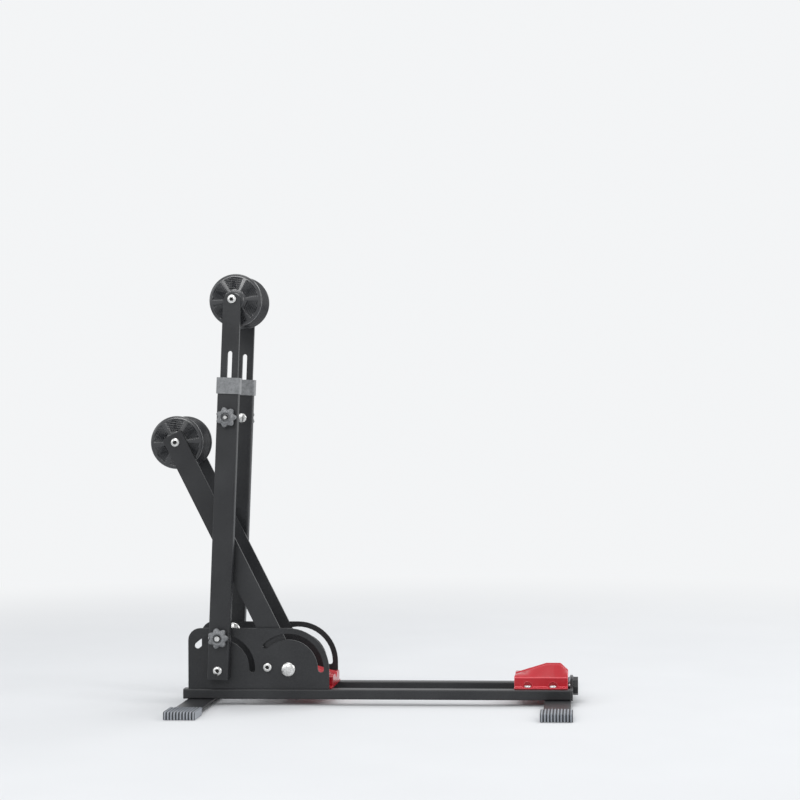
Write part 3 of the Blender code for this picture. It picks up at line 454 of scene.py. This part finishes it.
def socket_rings(radius, height):
    """A button head round a hexagon socket, whose first rings are the socket."""
    socket = hexagon(SOCKET_FLATS)
    floor_at = height - SOCKET_DEPTH
    rings = [(SOCKET_EDGE, floor_at - SOCKET_TIP), (socket, floor_at),
             (socket, height - SOCKET_EDGE), (lambda angle: socket(angle) + SOCKET_EDGE, height)]
    inner = SOCKET_FLATS / 2 + BUTTON_LAND
    for i in range(1, 8):
        angle = math.radians(90 * i / 7)
        rings.append((inner + (radius - inner) * math.sin(angle),
                      height * (BUTTON_SIDE + (1 - BUTTON_SIDE) * math.cos(angle))))
    return rings + [(radius, 0.0)]


def stand_in(piece, node, body):
    """A piece rides on its body and takes the place of the frame's node."""
    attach(piece, body)
    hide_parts(node)


def replace_bolt(node, body, side, head, shank, domed):
    """A bolt with a finished head, a (radius, height) pair, in place of the plain one."""
    low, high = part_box(node)
    middle = (low + high) / 2
    top = high.y if side > 0 else -low.y
    length = high.y - low.y - head[1]
    rings = dome_rings(*head) if domed else socket_rings(*head)
    rings += [(shank, 0.0), (shank, SHANK_TAPER - length), (shank - SHANK_TAPER, -length)]
    seat = (middle.x, side * (top - head[1]), middle.z)
    # A socket's floor and walls take the second, near-black finish: painted shade.
    piece = lathe(node + "_fine", rings, BOLT_STEPS, seat, (0, side, 0), (ZINC, SOCKET_SHADE),
                  recess=0 if domed else 2)
    stand_in(piece, node, body)


SIDES = (("near", -1), ("far", 1))
BUTTON = (0.0066, 0.0032)
AXLE_BUTTON = (0.0064, 0.0028)
DOME = (0.0103, 0.0040)
THIN_DOME = (0.0070, 0.0021)
for label, side in SIDES:
    replace_bolt("upright_pivot_bolt_" + label, "base", side, BUTTON, SHANK_8, False)
    replace_bolt("arm_pivot_bolt_" + label, "base", side, DOME, SHANK_8, True)
    replace_bolt("lock_bolt_" + label, "upright", -side, DOME, SHANK_8, True)
    replace_bolt("height_bolt_" + label, "upright", -side, THIN_DOME, SHANK_6, True)
replace_bolt("stop_bolt", "base", -1, BUTTON, SHANK_8, False)
replace_bolt("upper_axle", "height_frame", -1, AXLE_BUTTON, SHANK_8, False)
replace_bolt("lower_axle", "arm", -1, AXLE_BUTTON, SHANK_8, False)
print("bolts made")

# %% Nuts
NUT_BORE = 0.0043
NUT_LEAD = 0.0005
NUT_CORNER = 0.0007
NUT_BACK = 0.0004
NUT_FACE_EDGE = 0.0001


def replace_nut(node, body, side):
    """A hexagon nut with turned corners."""
    low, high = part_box(node)
    flats = min(high.x - low.x, high.z - low.z)
    half = (high.y - low.y) / 2
    six = hexagon(flats)
    rings = [(NUT_BORE, -half), (NUT_BORE, half - NUT_LEAD), (NUT_BORE + NUT_LEAD, half),
             (flats / 2 - NUT_FACE_EDGE, half), (six, half - NUT_CORNER),
             (six, -half + NUT_BACK), (lambda angle: six(angle) - NUT_BACK, -half)]
    piece = lathe(node + "_fine", rings, BOLT_STEPS, tuple((low + high) / 2), (0, side, 0),
                  (ZINC,))
    open_bore(piece, 32.0)
    stand_in(piece, node, body)


for label, side in SIDES:
    replace_nut("upright_pivot_nut_" + label, "base", -side)
    replace_nut("arm_pivot_nut_" + label, "base", -side)
replace_nut("stop_nut", "base", 1)
replace_nut("upper_axle_nut", "height_frame", 1)
replace_nut("lower_axle_nut", "arm", 1)
print("nuts made")

# %% [markdown]
# A roller is the stand's finest piece. Two cones meet at a narrow waist, so whatever lies
# between them settles in the middle. Its end faces slope out from the rim to the hub,
# with six smooth spokes and, between them, ridges that run square to the middle of each
# field. The ridges are a height rule on a fine polar grid: a cosine of the distance along
# the field's middle line, switched off near the spokes, the hub and the rim.

# %% Roller measures
ROLLER_STEPS = 192
RIM_RADIUS = 0.038
RIM_AT = 0.0325
RIM_LIP = 0.0045
HUB_RADIUS = 0.0125
HUB_AT = 0.037
BORE_RADIUS = 0.0073
WAIST_RADIUS = 0.011
WAIST_HALF = 0.0025
CONE_RIBS = 13
CONE_RIB_DEPTH = 0.0008
FIELD_COUNT = 6
FIELD_PHASE = math.radians(35)
FIELD_PITCH = 0.0026
FIELD_DEPTH = 0.0012
SPOKE_HALF = 0.0008
SPOKE_HALF_ANGLE = math.radians(5.5)
FACE_RINGS = 48
FACE_INNER = 0.0142
FACE_OUTER = 0.0345
FACE_SINK = 0.0016
HUB_ROUND = 0.0006
HUB_DROP = 0.0005
HUB_FOOT = 0.0008
RIM_RISE = 0.0006
RIM_ROUND = 0.0028
RIM_ROUND_AT = 0.0022
RIM_ROUND_HEIGHT = 0.0026
LIP_STEP = 0.0018
FADE_SPOKE = 0.0006
FADE_HUB = (0.0006, 0.0020)
FADE_RIM = (0.0022, 0.0008)


def smooth_step(low, high, value):
    """Zero below low, one above high, and a soft ramp between."""
    share = min(max((value - low) / (high - low), 0.0), 1.0)
    return share * share * (3 - 2 * share)


def field_ridge(radius, angle):
    """Depth of the groove between two ridges at a place on the end face."""
    sector = 2 * math.pi / FIELD_COUNT
    off_middle = (angle - FIELD_PHASE + sector / 2) % sector - sector / 2
    along = radius * math.cos(off_middle)
    from_spoke = radius * (sector / 2 - abs(off_middle) - SPOKE_HALF_ANGLE)
    inside = smooth_step(SPOKE_HALF - FADE_SPOKE, SPOKE_HALF + FADE_SPOKE, from_spoke)
    inside *= smooth_step(FACE_INNER + FADE_HUB[0], FACE_INNER + FADE_HUB[1], radius)
    inside *= 1 - smooth_step(FACE_OUTER - FADE_RIM[0], FACE_OUTER - FADE_RIM[1], radius)
    wave = 0.5 - 0.5 * math.cos(2 * math.pi * along / FIELD_PITCH)
    return FIELD_DEPTH * inside * wave


# %% Roller profile and mesh
def half_roller():
    """Rings from the hub's end face to the waist: (radius, height, belongs to the face)."""
    foot_radius = HUB_RADIUS + HUB_FOOT
    foot_at = HUB_AT - FACE_SINK
    rings = [(BORE_RADIUS, HUB_AT, False), (HUB_RADIUS - HUB_ROUND, HUB_AT, False),
             (HUB_RADIUS, HUB_AT - HUB_DROP, False), (foot_radius, foot_at, False)]
    slope = (RIM_AT + RIM_RISE - foot_at) / (FACE_OUTER - foot_radius)
    for i in range(FACE_RINGS + 1):
        radius = FACE_INNER + (FACE_OUTER - FACE_INNER) * i / FACE_RINGS
        rings.append((radius, foot_at + slope * (radius - foot_radius), True))
    for i in range(1, 7):
        angle = math.radians(90 - 15 * i)
        rings.append((RIM_RADIUS - RIM_ROUND + RIM_ROUND * math.cos(angle),
                      RIM_AT - RIM_ROUND_AT + RIM_ROUND_HEIGHT * math.sin(angle), False))
    lip_at = RIM_AT - RIM_LIP
    rings += [(RIM_RADIUS, lip_at + 0.0008, False), (RIM_RADIUS - 0.0006, lip_at + 0.0001, False)]
    top_radius = RIM_RADIUS - LIP_STEP
    points = 4 * CONE_RIBS
    for i in range(points + 1):
        share = i / points
        wave = 0.5 - 0.5 * math.cos(2 * math.pi * CONE_RIBS * share)
        rings.append((top_radius + (WAIST_RADIUS - top_radius) * share - CONE_RIB_DEPTH * wave,
                      lip_at + (WAIST_HALF - lip_at) * share, False))
    return rings


def make_roller(node, body, joint):
    """The fine roller, in place of the frame's plainer one."""
    upper = half_roller()
    lower = [(radius, -height, face) for radius, height, face in reversed(upper)]
    whole = upper + lower
    steps = [(radius, height) for radius, height, _ in whole]

    def lift(index, radius, angle):
        """Ridges sink into the end faces, on both ends."""
        if not whole[index][2]:
            return 0.0
        depth = field_ridge(radius, angle)
        return -depth if whole[index][1] > 0 else depth

    place = Vector(JOINTS[joint]["pos_m"])
    piece = lathe(node + "_fine", steps, ROLLER_STEPS, place, (0, -1, 0), (ROLLER,), 50.0,
                  lift)
    open_bore(piece, 50.0)
    stand_in(piece, node, body)
    print(node, "has", len(piece.data.polygons), "faces")


make_roller("upper_roller", "upper_roller", "upper_roller_spin")
make_roller("lower_roller", "lower_roller", "lower_roller_spin")

# %% [markdown]
# The star knobs have seven short lobes with a pointed crest, a smooth raised collar and a
# round recess in which the bolt's end shows. One radius rule makes the lobes: a cosine
# raised to a power, which narrows the crests and widens the hollows between them. The
# rings near the middle use less and less of it, so the star melts into a round boss.

# %% Star knobs
KNOB_STEPS = 112
KNOB_LOBES = 7
KNOB_TIP = 0.0145
KNOB_HOLLOW = 0.0034
KNOB_RECESS = 0.0064
KNOB_RECESS_DEPTH = 0.0048
KNOB_SEAT = 0.0085
KNOB_NECK = 0.0095
KNOB_BOSS = 0.0092
CREST_POWER = 0.85


def star(base, amount):
    """Radius rule of a lobed ring: base is the crest, amount the hollows' depth."""
    def rule(angle):
        crest = (0.5 + 0.5 * math.cos(KNOB_LOBES * angle)) ** CREST_POWER
        return base - amount * (1 - crest)
    return rule


def make_star_knob(node, bore):
    """A moulded star knob, in place of the frame's plain one."""
    low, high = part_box(node)
    middle = (low + high) / 2
    side = 1 if middle.y > 0 else -1
    half = (high.y - low.y) / 2
    lobes = ((0.0012, 1.0, -half + 0.0030), (0.0002, 1.0, -half + 0.0042),
             (0.0, 1.0, -half + 0.0056), (0.0, 1.0, half - 0.0044),
             (0.0005, 1.0, half - 0.0034), (0.0016, 0.9, half - 0.0026),
             (0.0032, 0.5, half - 0.0021), (0.0045, 0.1, half - 0.0018))
    rings = [(bore, -half), (KNOB_SEAT, -half), (KNOB_NECK, -half + 0.0008),
             (KNOB_NECK, -half + 0.0020)]
    rings += [(star(KNOB_TIP - inset, KNOB_HOLLOW * share), height)
              for inset, share, height in lobes]
    rings += [(KNOB_BOSS, half - 0.0006), (KNOB_BOSS - 0.0006, half - 0.0001),
              (KNOB_BOSS - 0.0012, half), (KNOB_RECESS + 0.0005, half),
              (KNOB_RECESS, half - 0.0006), (KNOB_RECESS - 0.0004, half - KNOB_RECESS_DEPTH),
              (bore, half - KNOB_RECESS_DEPTH)]
    piece = lathe(node + "_fine", rings, KNOB_STEPS, tuple(middle), (0, side, 0), (KNOB,))
    open_bore(piece, 50.0)
    stand_in(piece, node, node)


for label, side in SIDES:
    make_star_knob("lock_knob_" + label, SHANK_8 + 0.0003)
    make_star_knob("height_knob_" + label, SHANK_6 + 0.0003)
print("star knobs made")

# %% [markdown]
# Pads, foot caps and the end plate aren't round, so a second idea serves them: a row of
# closed outlines, each in a plane across X, joined from one to the next. Where a piece
# needs a hole or a recess, a plain solid is subtracted once and the result is kept as a
# clean mesh, so no leftover cutter stays in the scene.


# %% Loft and subtraction
def closed_loft(name, sections, materials, second=()):
    """Outlines of (x, [(y, z), ...]) joined in a row and closed at both ends.

    The strips whose numbers are in second take the second material.
    """
    shape = bmesh.new()
    loops = []
    for x, outline in sections:
        loops.append([shape.verts.new((x, y, z)) for y, z in outline])
    count = len(loops[0])
    for strip, (first, last) in enumerate(zip(loops, loops[1:])):
        for i in range(count):
            j = (i + 1) % count
            face = shape.faces.new((first[i], first[j], last[j], last[i]))
            face.material_index = 1 if strip in second else 0
    shape.faces.new(loops[0])
    shape.faces.new(loops[-1])
    bmesh.ops.recalc_face_normals(shape, faces=shape.faces)
    mesh = bpy.data.meshes.new(name)
    shape.to_mesh(mesh)
    shape.free()
    for material in materials:
        mesh.materials.append(material)
    piece = bpy.data.objects.new(name, mesh)
    bpy.context.scene.collection.objects.link(piece)
    return piece


def arch_tool(centre, radius, depth):
    """Half a rod that lies along Y with its flat side down, to be subtracted."""
    shape = bmesh.new()
    rows = []
    for y in (centre[1] - depth / 2, centre[1] + depth / 2):
        angles = [math.pi * i / 20 for i in range(21)]
        rows.append([shape.verts.new((centre[0] + radius * math.cos(angle), y,
                                      centre[2] + radius * math.sin(angle)))
                     for angle in angles])
    for i in range(21):
        j = (i + 1) % 21
        shape.faces.new((rows[0][i], rows[0][j], rows[1][j], rows[1][i]))
    shape.faces.new(rows[0])
    shape.faces.new(rows[1])
    return tool_from(shape)


def tool_from(shape):
    """Turn a finished shape into an object for the subtraction."""
    bmesh.ops.recalc_face_normals(shape, faces=shape.faces)
    mesh = bpy.data.meshes.new("tool")
    shape.to_mesh(mesh)
    shape.free()
    tool = bpy.data.objects.new("tool", mesh)
    bpy.context.scene.collection.objects.link(tool)
    return tool


def plain_tool(centre, size, round_axis):
    """A box, or a rod that stands upright or lies along X, to be subtracted."""
    shape = bmesh.new()
    if round_axis == "box":
        bmesh.ops.create_cube(shape, size=1.0)
        bmesh.ops.scale(shape, vec=size, verts=shape.verts)
    else:
        bmesh.ops.create_cone(shape, cap_ends=True, segments=40, radius1=size[0] / 2,
                              radius2=size[0] / 2, depth=size[2])
        if round_axis == "x":
            turn = Matrix.Rotation(math.pi / 2, 4, "Y")
            bmesh.ops.transform(shape, matrix=turn, verts=shape.verts)
    bmesh.ops.translate(shape, vec=centre, verts=shape.verts)
    return tool_from(shape)


def subtract(piece, tools):
    """Take the tools out of a piece for good, then throw them away."""
    for tool in tools:
        hollow = piece.modifiers.new("hollow", "BOOLEAN")
        hollow.operation = "DIFFERENCE"
        hollow.solver = "EXACT"
        hollow.object = tool
    depsgraph = bpy.context.evaluated_depsgraph_get()
    result = bpy.data.meshes.new_from_object(piece.evaluated_get(depsgraph))
    piece.modifiers.clear()
    piece.data = result
    for tool in tools:
        bpy.data.objects.remove(tool)


def shade(piece, smooth):
    """Smooth shading that stays sharp at real edges."""
    piece.data.shade_smooth()
    piece.data.set_sharp_from_angle(angle=math.radians(smooth))


# %% [markdown]
# A red pad is a wedge: it rises from a low toe, two ridges run along its top with a
# groove between them, and its flanks slope down to a straight shoulder. Each screw sits
# in an arched recess. The sections share one rule for the height along the wedge, and
# the recesses are subtracted once the wedge is closed.

# %% Red pads
PAD_SHOULDER_RISE = 0.017
PAD_CREST_RISE = 0.031
PAD_CREST_HALF = 0.0105
PAD_BODY_HALF = 0.0315
PAD_RAMP_END = 0.59
PAD_TAIL_START = 0.86
PAD_GROOVE_DROP = 0.0065
PAD_ARCH_RADIUS = 0.0068
PAD_ARCH_INNER = 0.0288
PAD_SCREW_Y = 0.0362
PAD_SCREW_INSET = 0.019
PAD_SCREW_PITCH = 0.0355
PAD_FLANGE_THICK = 0.0025
PAD_TAIL_DROP = 0.7
PAD_EDGE_SLOPE = 0.0022
PAD_EDGE_DROP = 0.0018
PAD_GROOVE_HALF = 0.0035
PAD_SOFT_RISE = 0.0006
PAD_RIDGE_TOP = 0.0015
PAD_HOLE = 0.0054
PAD_TOOL_LENGTH = 0.02
PAD_TOOL_REACH = 0.002
PAD_SHARES = (0.0, 0.15, 0.30, 0.45, PAD_RAMP_END, 0.72, PAD_TAIL_START, 1.0)


def pad_outline(share, low_z, flange_half):
    """Outline across the pad at a share of its length."""
    ramp = min(share / PAD_RAMP_END, 1.0)
    tail = max(0.0, (share - PAD_TAIL_START) / (1 - PAD_TAIL_START))
    rise = PAD_CREST_RISE - PAD_SHOULDER_RISE
    crest = PAD_SHOULDER_RISE + rise * (ramp - PAD_TAIL_DROP * tail)
    groove = crest - PAD_GROOVE_DROP
    half = [(0.0, groove), (PAD_GROOVE_HALF, groove + PAD_SOFT_RISE),
            (PAD_CREST_HALF - PAD_RIDGE_TOP, crest - PAD_SOFT_RISE), (PAD_CREST_HALF, crest),
            (PAD_BODY_HALF - PAD_EDGE_SLOPE, PAD_SHOULDER_RISE),
            (PAD_BODY_HALF, PAD_SHOULDER_RISE - PAD_EDGE_DROP),
            (PAD_BODY_HALF, PAD_FLANGE_THICK), (flange_half, PAD_FLANGE_THICK),
            (flange_half, 0.0)]
    loop = half + [(-y, z) for y, z in reversed(half[1:])]
    return [(y, low_z + z) for y, z in loop]


def pad_toe(node, direction):
    """X of a pad's low end, from its box."""
    low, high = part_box(node)
    return low.x if direction > 0 else high.x


def make_pad(node, direction):
    """A wedge with arched screw recesses."""
    low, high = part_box(node)
    toe = pad_toe(node, direction)
    length = high.x - low.x
    sections = [(toe + direction * share * length, pad_outline(share, low.z, high.y))
                for share in PAD_SHARES]
    pad = closed_loft(node + "_fine", sections, (RED,))
    tools = []
    for step in range(2):
        x = toe + direction * (PAD_SCREW_INSET + step * PAD_SCREW_PITCH)
        for side in (-1, 1):
            depth = high.y + PAD_TOOL_REACH - PAD_ARCH_INNER
            place = (x, side * (PAD_ARCH_INNER + depth / 2), low.z + PAD_FLANGE_THICK)
            tools.append(arch_tool(place, PAD_ARCH_RADIUS, depth))
            hole = (x, side * PAD_SCREW_Y, low.z)
            tools.append(plain_tool(hole, (PAD_HOLE, PAD_HOLE, PAD_TOOL_LENGTH), "z"))
    subtract(pad, tools)
    soften_edges(pad, "red_plastic")
    shade(pad, 35.0)
    stand_in(pad, node, "base")


make_pad("wheel_pad_right", 1)
make_pad("wheel_pad_left", -1)
print("pads made")

# %% [markdown]
# A foot cap is moulded rubber, ribbed like corduroy: the ribs run out along its top, turn
# over a round corner and go down its end. Each outline across X is the same, but set in
# by a wave, so the ribs are real and the light finds their crests and valleys. A pocket
# takes the foot bar.

# %% Foot caps
CAP_RIB_COUNT = 10
CAP_RIB_DEPTH = 0.0019
# Rib strips deeper in a valley than this share take the painted-shade finish.
CAP_VALLEY_SHADE_FROM = 0.80
CAP_CORNER = 0.0028
CAP_STEPS_PER_RIB = 8
CAP_BAR_WIDTH = 0.0376
CAP_BAR_THICK = 0.0046
CAP_BAR_END_PLAY = 0.0003
CAP_VALLEY_POWER = 1.8
CAP_SIDE_VALLEY = 0.35
CAP_BACK_EDGE = 0.0008
CAP_SOLE_EDGE = (0.0006, 0.0012)


def rib_wave(share):
    """One in a valley between ribs and nought on a crest, at a share of the cap's width."""
    return abs(math.cos(math.pi * CAP_RIB_COUNT * share))


def make_foot_cap(node, bar):
    """A ribbed cap with a pocket for its bar."""
    low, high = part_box(node)
    side = 1 if low.y > 0 else -1
    outer = max(abs(low.y), abs(high.y))
    inner = min(abs(low.y), abs(high.y))
    count = CAP_RIB_COUNT * CAP_STEPS_PER_RIB
    sections = []
    for i in range(count + 1):
        share = i / count
        valley = CAP_SIDE_VALLEY if i in (0, count) else rib_wave(share) ** CAP_VALLEY_POWER
        inset = CAP_RIB_DEPTH * valley
        top = high.z - inset
        end = outer - inset
        outline = [(inner, 0.0), (inner, top - CAP_BACK_EDGE), (inner + CAP_BACK_EDGE, top)]
        for k in range(5):
            angle = math.radians(90 - 90 * k / 4)
            outline.append((end - CAP_CORNER + CAP_CORNER * math.cos(angle),
                            top - CAP_CORNER + CAP_CORNER * math.sin(angle)))
        outline += [(end, CAP_SOLE_EDGE[1]), (end - CAP_SOLE_EDGE[0], 0.0)]
        x = low.x + (high.x - low.x) * share
        sections.append((x, [(side * y, z) for y, z in outline]))
    # The strips in the rib valleys take a near-black finish: painted shade in the grooves.
    shaded_valleys = [i for i in range(count) if rib_wave((i + 0.5) / count) > CAP_VALLEY_SHADE_FROM]
    cap = closed_loft(node + "_fine", sections, (RUBBER, RUBBER_VALLEY_SHADE), shaded_valleys)
    bar_low, bar_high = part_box(bar)
    middle = (bar_low + bar_high) / 2
    size = (CAP_BAR_WIDTH, bar_high.y - bar_low.y + 2 * CAP_BAR_END_PLAY, CAP_BAR_THICK)
    subtract(cap, [plain_tool(middle, size, "box")])
    shade(cap, 50.0)
    stand_in(cap, node, "base")


for end in ("left", "right"):
    for label, side in SIDES:
        make_foot_cap("foot_cap_" + end + "_" + label, "foot_bar_" + end)
print("foot caps made")

# %% [markdown]
# The end plate ties the two rails together at the right. It is only as tall as the rails
# beside them, and rises in the middle to carry the knob's stud.

# %% End plate
END_HUMP_HALF = 0.0165
END_SHOULDER_RISE = 0.0146
END_STUD_HOLE = 0.0066
END_TOOL_LENGTH = 0.02


def make_end_plate():
    """A plate with low shoulders and a raised middle."""
    low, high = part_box("end_plate")
    shoulder = low.z + END_SHOULDER_RISE
    half = [(high.y, low.z), (high.y, shoulder - 0.003), (high.y - 0.001, shoulder - 0.0009),
            (high.y - 0.003, shoulder), (END_HUMP_HALF + 0.004, shoulder),
            (END_HUMP_HALF + 0.001, shoulder + 0.001), (END_HUMP_HALF, shoulder + 0.004),
            (END_HUMP_HALF, high.z - 0.005), (END_HUMP_HALF - 0.0015, high.z - 0.0015),
            (END_HUMP_HALF - 0.005, high.z)]
    outline = half + [(-y, z) for y, z in reversed(half)]
    end = closed_loft("end_plate_fine", [(low.x, outline), (high.x, outline)], (COAT,))
    place = JOINTS["end_knob_turn"]["pos_m"]
    stud = ((low.x + high.x) / 2, 0, place[2])
    subtract(end, [plain_tool(stud, (END_STUD_HOLE, END_STUD_HOLE, END_TOOL_LENGTH), "x")])
    soften_edges(end, "black_coat")
    shade(end, 35.0)
    stand_in(end, "end_plate", "base")


make_end_plate()
print("end plate made")

# %% [markdown]
# Each red pad is held by four pan-head screws that stand on its thin flange, in arched
# recesses. They are small enough to leave out of the working model, but they are the
# brightest things on the pad. Their places come from the pad's own box, so both pads,
# which mirror each other, are served by one function.

# %% Pad screws
PAD_SCREW_HEAD = 0.0052
PAD_SCREW_HEIGHT = 0.0028
PAD_SCREW_SHANK = 0.0024
PAD_SCREW_LENGTH = 0.009
PAD_SCREW_GAP = 0.0002
RECESS_ARM = 0.0022
RECESS_WIDTH = 0.0010
RECESS_DEPTH = 0.0014


def cross(arm, width):
    """Radius rule of a four-armed driver recess."""
    def rule(angle):
        near = (angle + math.pi / 4) % (math.pi / 2) - math.pi / 4
        reach = width / 2 / max(abs(math.sin(near)), 0.0001)
        return min(arm, max(reach, width * 0.62))
    return rule


def make_pad_screws(node, direction):
    """Four screws on a pad's flange; direction points from its toe to its tall end."""
    toe = pad_toe(node, direction)
    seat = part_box(node)[0].z + PAD_FLANGE_THICK + PAD_SCREW_GAP
    recess = cross(RECESS_ARM, RECESS_WIDTH)
    rings = [(recess, PAD_SCREW_HEIGHT - RECESS_DEPTH), (recess, PAD_SCREW_HEIGHT - 0.0001)]
    for i in range(7):
        angle = math.radians(15 + 75 * i / 6)
        rings.append((PAD_SCREW_HEAD * math.sin(angle) ** 0.6,
                      PAD_SCREW_HEIGHT * (0.3 + 0.7 * math.cos(angle) ** 0.7)))
    rings += [(PAD_SCREW_HEAD, 0.0), (PAD_SCREW_SHANK, 0.0), (PAD_SCREW_SHANK, -PAD_SCREW_LENGTH)]
    for step in range(2):
        x = toe + direction * (PAD_SCREW_INSET + step * PAD_SCREW_PITCH)
        for label, side in SIDES:
            name = node + "_screw_" + str(step + 1) + "_" + label
            # The cross recess takes the second, near-black finish: painted shade.
            screw = lathe(name, rings, BOLT_STEPS, (x, side * PAD_SCREW_Y, seat), (0, 0, 1),
                          (ZINC, SOCKET_SHADE), recess=1)
            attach(screw, "base")


make_pad_screws("wheel_pad_right", 1)
make_pad_screws("wheel_pad_left", -1)
print("pad screws made")
